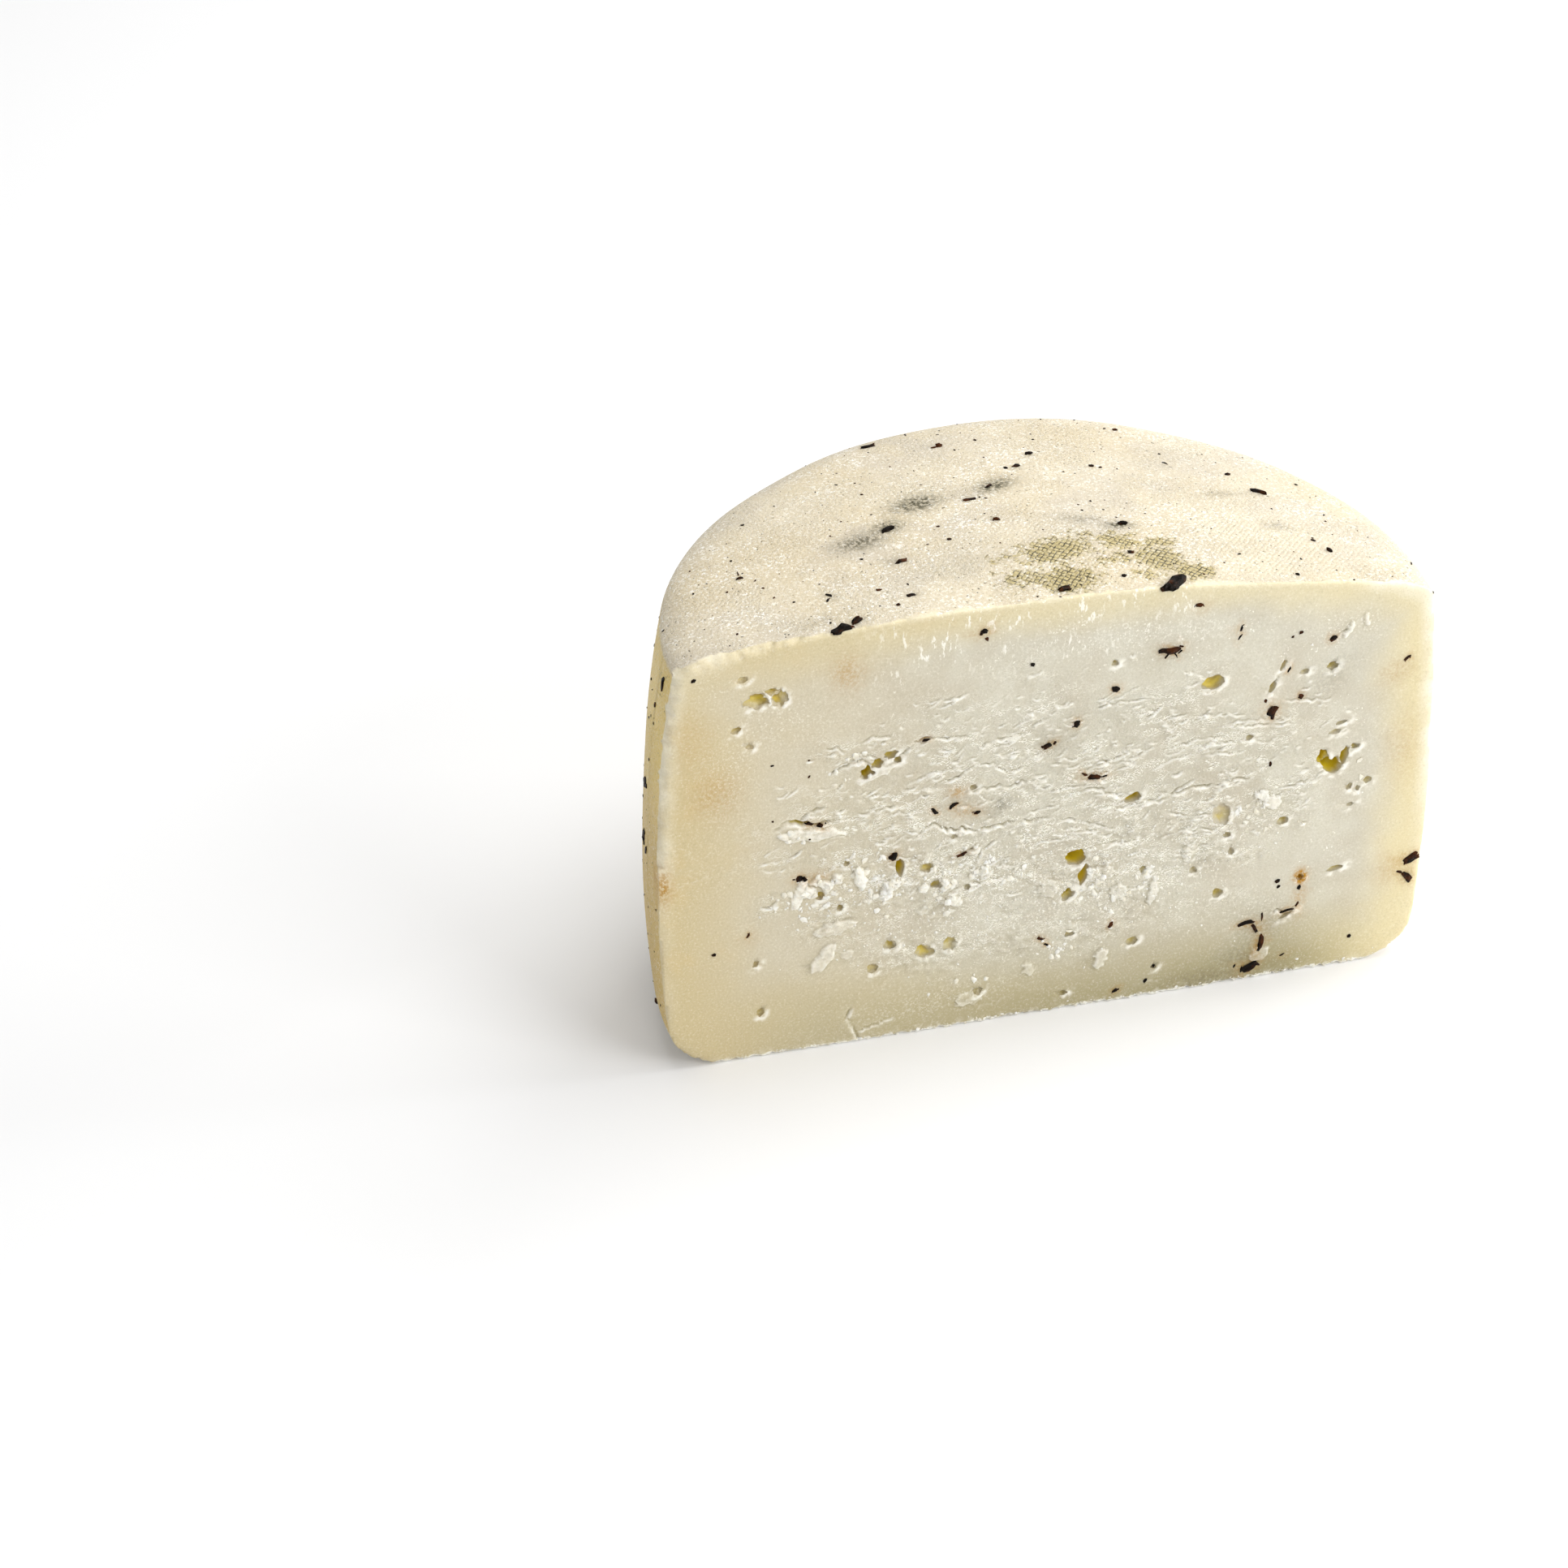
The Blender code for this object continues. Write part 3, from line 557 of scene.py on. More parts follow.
@dataclass
class KnifeCut:
    """The relief of the cut: how far it stands out towards the viewer, on an uneven grid, in mm."""

    shape: WheelShape
    edges_across: tuple[float, ...] = (-72, -54, 54, 72)
    edges_up: tuple[float, ...] = (-3, -0.5, 18, 67, 82, 86)
    fine_across: float = 0.3
    fine_up: float = 0.2
    middle: float = 0.36
    coarse: float = 0.7
    kept_share: float = 0.55
    sweep: float = 0.3
    rounding: float = 0.38
    left_rounding: float = 1.5
    foot_rounding: float = 0.85
    torn_centre: tuple[float, float] = (-1.0, 44.0)
    torn_half: tuple[float, float] = (50.0, 22.0)
    crumbly_centre: tuple[float, float] = (-4.0, 27.0)
    crumbly_half: tuple[float, float] = (46.0, 17.0)
    scale_count: int = 620
    drag_count: int = 34
    proudest: float = 0.72
    tear_half: float = 0.6
    tear_deep: float = 0.8
    tear_lip: float = 0.6
    foot_top: float = 4.0
    block_back: float = 90 * MM
    seed: int = 11

    def __post_init__(self) -> None:
        """Lay the grid and work every layer of the relief into it."""
        self.across = self.steps(self.edges_across, (self.coarse, self.fine_across, self.coarse))
        gaps = self.coarse, self.middle, self.fine_up, self.middle, self.coarse
        self.up = self.steps(self.edges_up, gaps)
        self.x, self.z = np.meshgrid(self.across, self.up)
        self.depth = self.skin_depth(self.x, self.z)
        self.torn = self.zone(self.torn_centre, self.torn_half)
        self.crumbly = self.zone(self.crumbly_centre, self.crumbly_half)
        self.base = self.sweep * Rough.SWEEP.over(self.x, self.z)
        self.detail, self.pale, self.shade = (np.zeros_like(self.x) for _ in range(3))
        self.work_grain()
        self.work_scales()
        self.work_drags()
        rng = random.Random(self.seed + 1)
        for tear in TEARS:
            half, deep, lip = self.tear_half * tear.half, self.tear_deep * tear.deep, self.tear_lip * tear.lip
            self.work_tear(self.jagged(tear.line, rng), half, deep, lip)
        for number, smear in enumerate(SMEARS):
            self.work_smear(smear, number)
        for shard in SHARDS:
            self.work_shard(shard, rng)
        for eye in EYES:
            self.work_eye_lip(eye)
        inner = np.where(self.z < 6, soft_step(self.depth, 0.0, 0.5), soft_step(self.depth, 0.3, 2.5))
        self.detail = np.minimum(self.detail, self.proudest)
        self.height = self.base + self.detail * inner - self.rounded_edge()
        # The cheese's colour turns this convexity into painted highlight on raised places and painted shade
        # in hollows.
        self.lip = self.convexity(self.detail * inner)

    @staticmethod
    def steps(edges: Sequence[float], gaps: Sequence[float]) -> Grid:
        """Grid lines along one way.

        Args:
            edges: where the spacing changes.
            gaps: the spacing between each two of them.

        Returns:
            The lines' places.
        """
        stretches = zip(edges, edges[1:], gaps)
        lines = [np.linspace(a, b, round((b - a) / gap), endpoint=False) for a, b, gap in stretches]
        return np.concatenate([*lines, [edges[-1]]])

    def skin_depth(self, x: Grid, z: Grid) -> Grid:
        """Distance from places on the cut to its outline, zero outside it."""
        return self.inside_depth(self.shape.cut_outline() / MM, x, z)

    @staticmethod
    def inside_depth(outline: Grid, x: Grid, z: Grid) -> Grid:
        """Distance from places inside a closed outline to it, zero outside.

        Args:
            outline: the outline's corners in order, one a row.
            x, z: the places.

        Returns:
            Distances in the outline's own unit.
        """
        best = np.full(x.shape, 1e9)
        inside = np.zeros(x.shape, dtype=bool)
        for (x0, z0), (x1, z1) in zip(outline, np.roll(outline, -1, 0)):
            dx, dz = x1 - x0, z1 - z0
            length = max(dx * dx + dz * dz, 1e-9)
            share = np.clip(((x - x0) * dx + (z - z0) * dz) / length, 0, 1)
            best = np.minimum(best, np.hypot(x - x0 - share * dx, z - z0 - share * dz))
            if z0 != z1:
                crosses = (z0 > z) != (z1 > z)
                inside ^= crosses & (x < x0 + (z - z0) * dx / dz)
        return np.where(inside, best, 0.0)

    def zone(self, centre: tuple[float, float], half: tuple[float, float]) -> Grid:
        """A soft oval mask, its edge broken up by noise.

        Args:
            centre, half: the oval's centre and half axes in mm.

        Returns:
            The mask, 0 to 1, on the grid.
        """
        wobble = 0.28 * Rough.ZONE.over(self.x, self.z)
        reach = np.hypot((self.x - centre[0]) / half[0], (self.z - centre[1]) / half[1])
        return soft_step(1.15 - reach + wobble, 0.0, 0.55)

    def rounded_edge(self) -> Grid:
        """How far the cut's edge falls back where knife and skin met.

        Returns:
            Millimetres at each point of the grid: more at the upper left and ragged at the foot.
        """
        foot = self.z < self.foot_top
        left = soft_step(-self.x, 36.0, 54.0) * (self.z > 40)
        radius = self.rounding + left * (self.left_rounding - self.rounding)
        radius = np.where(foot, self.foot_rounding, radius)
        rough = np.where(foot, 0.9, 0.5)
        radius = radius * (1 + rough * Rough.EDGE.over(self.x, self.z))
        frayed = 0.45 * foot * Rough.EDGE_FINE.over(self.x, self.z)
        radius = np.clip(radius + frayed, 0.1, None)
        short = np.clip(radius - self.depth, 0, None)
        return radius - np.sqrt(np.clip(radius**2 - short**2, 0, None))

    def work_grain(self) -> None:
        """Broken plates of the crumbly middle, ledges of the torn part and broad waves."""
        plates = self.terraced(Rough.PLATES.over(self.x, self.z), 5)
        small = self.terraced(Rough.SMALL_PLATES.over(self.x, self.z), 3)
        ledges = self.terraced(Rough.LEDGES.over(self.x, self.z - 0.1 * self.x), 4)
        clumps = soft_step(Rough.CLUMPS.over(self.x, self.z), -0.25, 0.3)
        self.detail += self.crumbly * clumps * (0.34 * plates + 0.18 * small) + self.torn * 0.16 * ledges
        self.detail += 0.10 * Rough.WAVES.over(self.x, self.z)

    @staticmethod
    def terraced(values: Grid, levels: int) -> Grid:
        """Turn smooth noise into flat steps with steep edges.

        Args:
            values: the noise.
            levels: how many steps one unit has.

        Returns:
            The stepped values.
        """
        raised = values * levels
        whole = np.floor(raised)
        return (whole + soft_step(raised - whole, 0.72, 1.0)) / levels

    def strewn(self, rng: random.Random, count: int, across: tuple[float, float], up: tuple[float, float],
               chance: Grid) -> Iterator[tuple[float, float]]:
        """Random places on the cut.

        Args:
            rng: draws the places; whoever uses a place may draw from it too.
            count: how many places.
            across, up: the ranges they lie in, in mm.
            chance: for each point of the grid, how likely a place there is kept.

        Yields:
            One place (x, z) after the other.
        """
        made = 0
        while made < count:
            x, z = rng.uniform(*across), rng.uniform(*up)
            column, row = np.searchsorted(self.across, x), np.searchsorted(self.up, z)
            if rng.random() <= chance[row, column]:
                made += 1
                yield x, z

    @staticmethod
    def bowed(x: float, z: float, long: float, slope: float, bow: float) -> list[tuple[float, float]]:
        """Five points of a line about a place, that climbs by a slope and bows down in its middle."""
        shares = (-0.5, -0.25, 0.0, 0.25, 0.5)
        return [(x + long * t, z + slope * long * t + bow * (4 * t * t - 1)) for t in shares]

    def work_scales(self) -> None:
        """Many short curved tears, like scales, where the knife dragged the dry paste."""
        rng = random.Random(self.seed)
        herd = Rough.HERD.over(self.x, self.z)
        chance = self.torn * (0.16 + soft_step(herd, -0.15, 0.3))
        for x, z in self.strewn(rng, self.scale_count, (-50, 52), (22, 68), chance):
            long = 0.7 + 2.4 * rng.random() ** 2
            slope = math.tan(math.radians(rng.gauss(8, 16)))
            line = self.bowed(x, z, long, slope, rng.uniform(-0.15, 1.0) * long * 0.34)
            line = [(across, up + rng.gauss(0, 0.07)) for across, up in line]
            strength = rng.uniform(0.4, 1.0)
            self.work_tear(line, rng.uniform(0.15, 0.26), 0.26 * strength, 0.36 * strength)

    def work_drags(self) -> None:
        """Fewer, longer and ragged tears that run a little uphill to the right."""
        rng = random.Random(self.seed + 2)
        for x, z in self.strewn(rng, self.drag_count, (-46, 46), (24, 62), self.torn):
            long, slope = rng.uniform(3.5, 9.5), math.tan(math.radians(rng.gauss(9, 9)))
            line = self.bowed(x, z, long, slope, rng.uniform(-0.1, 0.12) * long)
            strength = rng.uniform(0.5, 1.0)
            self.work_tear(self.jagged(line, rng), rng.uniform(0.18, 0.28), 0.42 * strength, 0.38 * strength)

    @staticmethod
    def jagged(line: Sequence[tuple[float, float]], rng: random.Random,
               stray: float = 0.19) -> list[tuple[float, float]]:
        """A line with more points, each a little off it.

        Args:
            line: the line's points in mm.
            rng: draws how far each point strays.
            stray: the spread of that, in mm.

        Returns:
            Points about 0.65 mm apart.
        """
        points = [line[0]]
        for (x0, z0), (x1, z1) in zip(line, line[1:]):
            steps = max(round(math.hypot(x1 - x0, z1 - z0) / 0.65), 1)
            for step in range(1, steps + 1):
                share = step / steps
                points.append((x0 + (x1 - x0) * share, z0 + (z1 - z0) * share + rng.gauss(0, stray)))
        return points

    def window(self, points: Grid, reach: float) -> tuple[slice, slice]:
        """The rows and columns of the grid that lie within reach of some points.

        Args:
            points: places (x, z), one a row.
            reach: how far round them, in mm.

        Returns:
            The rows and the columns.
        """
        low, high = points.min(0) - reach, points.max(0) + reach
        columns = slice(*np.searchsorted(self.across, [low[0], high[0]]))
        return slice(*np.searchsorted(self.up, [low[1], high[1]])), columns

    def raise_to(self, layer: Grid, window: tuple[slice, slice], values: Grid) -> None:
        """Raise part of a layer to some values, where they are higher."""
        layer[window] = np.maximum(layer[window], values)

    def work_tear(self, line: Sequence[tuple[float, float]], half: float, deep: float, lip: float) -> None:
        """Press one tear into the relief: a groove that fades at its ends, with a raised lip below.

        Args:
            line: the tear's points in mm, from left to right.
            half, deep, lip: half its width, its depth and the height of its lip, in mm.
        """
        points = np.array(line)
        window = self.window(points, 5 * half)
        x, z = self.x[window], self.z[window]
        best, above, along = np.full(x.shape, 1e9), np.zeros(x.shape), np.zeros(x.shape)
        for i, ((x0, z0), (x1, z1)) in enumerate(zip(points, points[1:])):
            dx, dz = x1 - x0, z1 - z0
            share = np.clip(((x - x0) * dx + (z - z0) * dz) / (dx * dx + dz * dz), 0, 1)
            gap = np.hypot(x - x0 - share * dx, z - z0 - share * dz)
            side = np.sign((z - z0) * dx - (x - x0) * dz) * math.copysign(1, dx)
            closer = gap < best
            best, above = np.where(closer, gap, best), np.where(closer, gap * side, above)
            along = np.where(closer, (i + share) / (len(points) - 1), along)
        fade = np.sqrt(np.clip(4 * along * (1 - along) + 0.05, 0, 1))
        fade = np.where((along <= 0) | (along >= 1), fade * bell(best, half), fade)
        fade = fade * np.clip(0.65 + 0.9 * Rough.TEAR.over(x, z), 0.05, 1)
        shelf = lip * np.where(above < 0, np.exp(above / (3.2 * half)), bell(above, 0.4 * half))
        groove = bell(above - 0.9 * half, 0.8 * half)
        self.detail[window] += fade * (shelf - deep * groove)
        # pale: the lip below the groove, partly whiter torn curd and partly painted highlight where the ledge
        # faces the light; shade: painted shade in the groove.
        edge = fade * np.exp(-(((above + 0.25 * half) / (0.7 * half)) ** 4)) * min(lip * 4.0, 1.0)
        self.raise_to(self.pale, window, edge)
        self.raise_to(self.shade, window, fade * groove * min(deep, 1.0))

    def work_smear(self, smear: Smear, number: int) -> None:
        """Raise one lump or smear of curd, with an uneven edge.

        Args:
            smear: its place and sizes.
            number: its place in the list, which seeds its noise.
        """
        dx, dz = self.x - smear.x, self.z - smear.z
        along, over = turned(dx, dz, smear.turn)
        reach = np.hypot(along / (smear.wide / 2), over / (smear.high / 2))
        outside = np.hypot(dx, dz) * (1 - 1 / np.maximum(reach, 0.05))
        lobes = 1.1 * np.abs(Rough.LOBES.over(self.x, self.z, number)) - 0.3
        fine = 0.34 * Rough.LOBES_FINE.over(self.x, self.z, number)
        outside = outside + smear.ragged * (lobes + fine)
        bumps = 1 + 0.35 * smear.ragged * Rough.BUMPS.over(self.x, self.z, number)
        inside = soft_step(-outside, -0.12, 0.12)
        self.detail += smear.proud * inside * bumps
        self.pale = np.maximum(self.pale, inside * min(max(2.4 * (smear.proud - 0.3), 0.12), 0.95))

    def work_shard(self, shard: Shard, rng: random.Random) -> None:
        """Raise one angular shard with crisp, slightly broken edges.

        Args:
            shard: its place and sizes.
            rng: draws its jagged outline.
        """
        corners = shard.outline()
        outline = np.array(self.jagged((*corners, corners[0]), rng, 0.15)[:-1])
        window = self.window(outline, 0.5)
        x, z = self.x[window], self.z[window]
        depth = self.inside_depth(outline, x, z)
        inside = soft_step(depth, 0.0, 0.28)
        waves = 0.35 * Rough.SHARD.over(x, z) + 0.3 * Rough.SHARD_FINE.over(x, z)
        self.detail[window] += shard.proud * inside * (0.95 + waves)
        worn = shard.pale * (0.8 + 0.6 * Rough.SHARD_WORN.over(x, z))
        bright = min(0.85, shard.pale + 0.15)
        edge = np.clip(np.maximum(worn, bright * bell(depth - 0.15, 0.3)), 0, 1)
        self.raise_to(self.pale, window, soft_step(depth, 0, 0.1) * edge)

    def work_eye_lip(self, eye: Eye) -> None:
        """Raise a broken lip along the lower right edge of an eye, with a painted highlight on it.

        Args:
            eye: the eye's place, sizes and turn.
        """
        dx, dz = self.x - eye.x, self.z - eye.z
        along, over = turned(dx, dz, eye.turn)
        reach = np.hypot(along / (eye.wide / 2 + 0.25), over / (eye.high / 2 + 0.25))
        side = soft_step(dx - 1.5 * dz, -0.6, 1.2)
        broken = soft_step(Rough.EYE_LIP.over(self.x, self.z), -0.4, 0.2)
        ring = side * broken * bell((reach - 1.1) * min(eye.wide, eye.high), 0.7)
        # Painted highlight on the lip at the eye's lower right.
        self.pale = np.maximum(self.pale, 0.8 * ring)
        self.detail += 0.12 * ring

    def convexity(self, relief: Grid) -> Grid:
        """How far each place stands out from its surroundings, in mm: lips above zero, grooves below.

        Args:
            relief: heights on the grid.

        Returns:
            The heights less their own average over a few steps of the grid.
        """
        around = relief.copy()
        for _ in range(3):
            around[1:-1] = (around[:-2] + 2 * around[1:-1] + around[2:]) / 4
            around[:, 1:-1] = (around[:, :-2] + 2 * around[:, 1:-1] + around[:, 2:]) / 4
        return relief - around

    def read(self, layer: Grid, x: Grid, z: Grid) -> Grid:
        """A layer's value at places on the cut, between the grid's own points.

        Args:
            layer: values on the grid.
            x, z: the places in mm.

        Returns:
            A value for each place.
        """
        column = np.clip(np.searchsorted(self.across, x) - 1, 0, len(self.across) - 2)
        row = np.clip(np.searchsorted(self.up, z) - 1, 0, len(self.up) - 2)
        fx = np.clip((x - self.across[column]) / (self.across[column + 1] - self.across[column]), 0, 1)
        fz = np.clip((z - self.up[row]) / (self.up[row + 1] - self.up[row]), 0, 1)
        low = layer[row, column] * (1 - fx) + layer[row, column + 1] * fx
        high = layer[row + 1, column] * (1 - fx) + layer[row + 1, column + 1] * fx
        return low * (1 - fz) + high * fz

    def place(self, x: float, z: float, sunk: float = 0.0) -> Vector:
        """A point on the cut in the wheel's frame, from a place in mm, sunk inwards by mm."""
        height = float(self.read(self.height, np.array([x]), np.array([z]))[0])
        return Vector((x * MM, self.shape.cut_at - (height - sunk) * MM, z * MM))

    def mesh(self) -> bpy.types.Mesh:
        """The block that keeps the half wheel: its front is the cut.

        Returns:
            The block, closed, in metres and in the wheel's own frame.
        """
        rows, columns = self.x.shape
        front = np.stack([self.x * MM, self.shape.cut_at - self.height * MM, self.z * MM], -1).reshape(-1, 3)
        grid = np.arange(rows * columns).reshape(rows, columns)
        quads = np.stack([grid[:-1, :-1], grid[:-1, 1:], grid[1:, 1:], grid[1:, :-1]], -1).reshape(-1, 4)
        border = [*grid[0], *grid[1:, -1], *grid[-1, -2::-1], *grid[-2:0:-1, 0]]
        count, start = len(border), rows * columns
        back = front[border].copy()
        back[:, 1] = self.block_back
        faces = [tuple(quad) for quad in quads.tolist()]
        faces += [
            (int(border[(i + 1) % count]), int(border[i]), start + i, start + (i + 1) % count)
            for i in range(count)
        ]
        faces.append(tuple(range(start, start + count)))
        return mesh_from("kept_side", np.concatenate([front, back]).tolist(), faces)


# Node trees


class NodeSheet:
    """A node tree that is being filled in."""

    def __init__(self, tree: bpy.types.NodeTree) -> None:
        """Take the tree to fill."""
        self.tree = tree

    def add(self, kind: str, inputs: dict | None = None, **settings: object) -> bpy.types.Node:
        """Add a node.

        Args:
            kind: the node's type.
            inputs: socket name or number to a value or to the socket that feeds it.
            settings: the node's own properties.

        Returns:
            The node.
        """
        node = self.tree.nodes.new(kind)
        for name, value in settings.items():
            setattr(node, name, value)
        for name, value in (inputs or {}).items():
            self.feed(node.inputs[name], value)
        return node

    def feed(self, socket: Socket, value: object) -> None:
        """Link a socket to another, or set its value.

        Args:
            socket: the socket to feed.
            value: another socket, or a number, vector or colour.
        """
        if isinstance(value, bpy.types.NodeSocket):
            self.tree.links.new(value, socket)
        elif isinstance(value, tuple) and len(value) == 3 and socket.type == "RGBA":
            socket.default_value = (*value, 1.0)
        else:
            socket.default_value = value

    def group(self, tree: bpy.types.NodeTree, **inputs: object) -> bpy.types.Node:
        """Add a shader node group and feed its inputs by name."""
        return self.add("ShaderNodeGroup", inputs, node_tree=tree)

    def math(self, operation: str, one: object, other: object = 0.0, clamp: bool = False) -> Socket:
        """One step of arithmetic."""
        return self.add("ShaderNodeMath", {0: one, 1: other}, operation=operation, use_clamp=clamp).outputs[0]

    def times(self, one: object, other: object, clamp: bool = False) -> Socket:
        """The product of two numbers."""
        return self.math("MULTIPLY", one, other, clamp)

    def plus(self, one: object, other: object, clamp: bool = False) -> Socket:
        """The sum of two numbers."""
        return self.math("ADD", one, other, clamp)

    def scaled(self, value: object, by: float, plus: float) -> Socket:
        """A number times one constant plus another."""
        return self.plus(self.times(value, by), plus)

    def rest(self, share: object) -> Socket:
        """What is left of one."""
        return self.math("SUBTRACT", 1.0, share)

    def vector(self, operation: str, one: object, other: object) -> Socket:
        """One step of arithmetic on vectors; SCALE takes a number as the other."""
        slot = 3 if operation == "SCALE" else 1
        return self.add("ShaderNodeVectorMath", {0: one, slot: other}, operation=operation).outputs[0]

    def split(self, vector: object) -> tuple[Socket, ...]:
        """The three parts of a vector."""
        return tuple(self.add("ShaderNodeSeparateXYZ", {0: vector}).outputs)

    def joined(self, **parts: object) -> Socket:
        """A vector from its parts, of which those not named are zero."""
        return self.add("ShaderNodeCombineXYZ", parts).outputs[0]

    def between(self, value: object, low: float, high: float) -> Socket:
        """Zero below low and one above high, with soft ends; low may be the larger one."""
        inputs = {0: value, 1: low, 2: high}
        return self.add("ShaderNodeMapRange", inputs, interpolation_type="SMOOTHSTEP").outputs[0]

    def mix(self, share: object, one: object, other: object) -> Socket:
        """Mix two colours."""
        return self.add("ShaderNodeMix", {0: share, 6: one, 7: other}, data_type="RGBA").outputs[2]

    def blend(self, share: object, one: object, other: object) -> Socket:
        """Mix two numbers."""
        return self.add("ShaderNodeMix", {0: share, 2: one, 3: other}, data_type="FLOAT").outputs[0]

    def tinted(self, colour: object, tint: object, share: object, strength: object,
               clamp: bool = False) -> Socket:
        """A colour with a tint laid over it, by a share times a strength."""
        return self.mix(self.times(share, strength, clamp), colour, tint)

    def noise(self, place: object, scale: float, detail: float = 2.0, rough: float = 0.5) -> Socket:
        """Noise about 0.5, from a place in mm."""
        inputs = {"Vector": place, "Scale": scale, "Detail": detail, "Roughness": rough}
        return self.add("ShaderNodeTexNoise", inputs).outputs[0]

    def spots(self, place: object, scale: float, low: float, high: float, detail: float = 2.0,
              rough: float = 0.5) -> Socket:
        """Soft spots: where noise goes from low to high."""
        return self.between(self.noise(place, scale, detail, rough), low, high)

    def attribute(self, name: str) -> Socket:
        """A number stored on the mesh's points."""
        return self.add("ShaderNodeAttribute", attribute_name=name).outputs["Fac"]

    def place_in_mm(self) -> Socket:
        """The place on the piece, in mm."""
        return self.vector("SCALE", self.add("ShaderNodeTexCoord").outputs["Object"], 1 / MM)

    def facing_up(self) -> Socket:
        """How far the surface faces up, from -1 to 1."""
        return self.split(self.add("ShaderNodeNewGeometry").outputs["Normal"])[2]


def new_group(name: str, takes: dict[str, float | None],
              gives: Iterable[str]) -> tuple[NodeSheet, bpy.types.Node, bpy.types.Node]:
    """A shader node group with named inputs and outputs.

    Args:
        name: the group's name.
        takes: name and start value of each input, None for a vector.
        gives: name of each output, all numbers.

    Returns:
        The sheet to fill, the group's input node and its output node.
    """
    tree = bpy.data.node_groups.new(name, "ShaderNodeTree")
    for label, value in takes.items():
        kind = "NodeSocketVector" if value is None else "NodeSocketFloat"
        socket = tree.interface.new_socket(label, in_out="INPUT", socket_type=kind)
        if value is not None:
            socket.default_value = value
    for label in gives:
        tree.interface.new_socket(label, in_out="OUTPUT", socket_type="NodeSocketFloat")
    sheet = NodeSheet(tree)
    return sheet, sheet.add("NodeGroupInput"), sheet.add("NodeGroupOutput")


def curd_grain_group() -> bpy.types.NodeTree:
    """The fine grain of goat curd.

    Returns:
        The group: from Place in mm and Size it gives a Height for the bump and pale Flecks.
    """
    sheet, takes, gives = new_group("curd_grain", {"Place": None, "Size": 1.0}, ("Height", "Flecks"))
    where = sheet.vector("SCALE", takes.outputs["Place"], takes.outputs["Size"])
    coarse, fine = sheet.noise(where, 1.9, 3.0, 0.6), sheet.noise(where, 5.5)
    sheet.feed(gives.inputs["Height"], sheet.plus(sheet.times(coarse, 0.7), sheet.times(fine, 0.3)))
    sheet.feed(gives.inputs["Flecks"], sheet.spots(where, 2.6, 0.60, 0.72, 2.0, 0.65))
    return sheet.tree


def dry_scales_group() -> bpy.types.NodeTree:
    """Fine ledges that a knife drags up in dry paste.

    Returns:
        The group: from Place in mm and Reach, the way up to the shadow, it gives a Height,
        the thin pale Lips of the ledges, partly painted highlight, and the painted Shadows above them.
    """
    starts, names = {"Place": None, "Reach": 0.16}, ("Height", "Lips", "Shadows")
    sheet, takes, gives = new_group("dry_scales", starts, names)
    lying = {"Vector": takes.outputs["Place"], "Rotation": (0.0, 0.11, 0.0), "Scale": (0.55, 0.6, 1.0)}
    lie = sheet.add("ShaderNodeMapping", lying).outputs[0]
    above = sheet.vector("SUBTRACT", lie, sheet.joined(Z=takes.outputs["Reach"]))
    broken = sheet.spots(lie, 0.75, 0.45, 0.55)
    for spot, name, width in ((lie, "Lips", 0.042), (above, "Shadows", 0.034)):
        wave = sheet.noise(spot, 1.15)
        sawtooth = sheet.math("FRACT", sheet.times(wave, 8.0))
        fold = sheet.math("ABSOLUTE", sheet.math("SUBTRACT", sawtooth, 0.5))
        line = sheet.between(fold, 6.0 * width, 3.0 * width)
        sheet.feed(gives.inputs[name], sheet.times(line, broken))
        if name == "Lips":
            sheet.feed(gives.inputs["Height"], sheet.plus(wave, sheet.times(line, 0.12)))
    return sheet.tree


def net_imprint_group() -> bpy.types.NodeTree:
    """The imprint of a woven draining net, a little bent and shaken.

    Returns:
        The group: from Place and Pitch in mm and Turn in radians it gives the Height of the
        pillows between the threads and the Lines of the threads.
    """
    starts = {"Place": None, "Pitch": 0.68, "Turn": 0.3}
    sheet, takes, gives = new_group("net_imprint", starts, ("Height", "Lines"))
    place = takes.outputs["Place"]
    bend, jitter = (
        sheet.add("ShaderNodeTexNoise", {"Vector": place, "Scale": scale, "Detail": detail}).outputs["Color"]
        for scale, detail in ((0.16, 2.0), (0.7, 1.0))
    )
    slide = sheet.vector("SCALE", sheet.vector("SUBTRACT", bend, (0.5, 0.5, 0.5)), 1.6)
    turning = {"Vector": sheet.vector("ADD", place, slide), "Angle": takes.outputs["Turn"]}
    turned = sheet.add("ShaderNodeVectorRotate", turning, rotation_type="Z_AXIS").outputs[0]
    parts = sheet.split(sheet.vector("ADD", turned, sheet.vector("SCALE", jitter, 0.5)))
    warp, weft = (
        sheet.math("ABSOLUTE", sheet.math(
            "SINE", sheet.math("DIVIDE", sheet.times(part, math.pi * share), takes.outputs["Pitch"])))
        for part, share in ((parts[0], 1.0), (parts[1], 0.82))
    )
    sheet.feed(gives.inputs["Height"], sheet.times(warp, weft))
    lines = sheet.rest(sheet.between(sheet.math("MINIMUM", warp, weft), 0.20, 0.55))
    sheet.feed(gives.inputs["Lines"], lines)
    return sheet.tree


def new_material(name: str) -> tuple[bpy.types.Material, NodeSheet, bpy.types.Node]:
    """A material with its Principled shader.

    Args:
        name: the material's name.

    Returns:
        The material, the sheet of its tree and its shader.
    """
    material = bpy.data.materials.new(name)
    material.use_nodes = True
    sheet = NodeSheet(material.node_tree)
    return material, sheet, material.node_tree.nodes["Principled BSDF"]


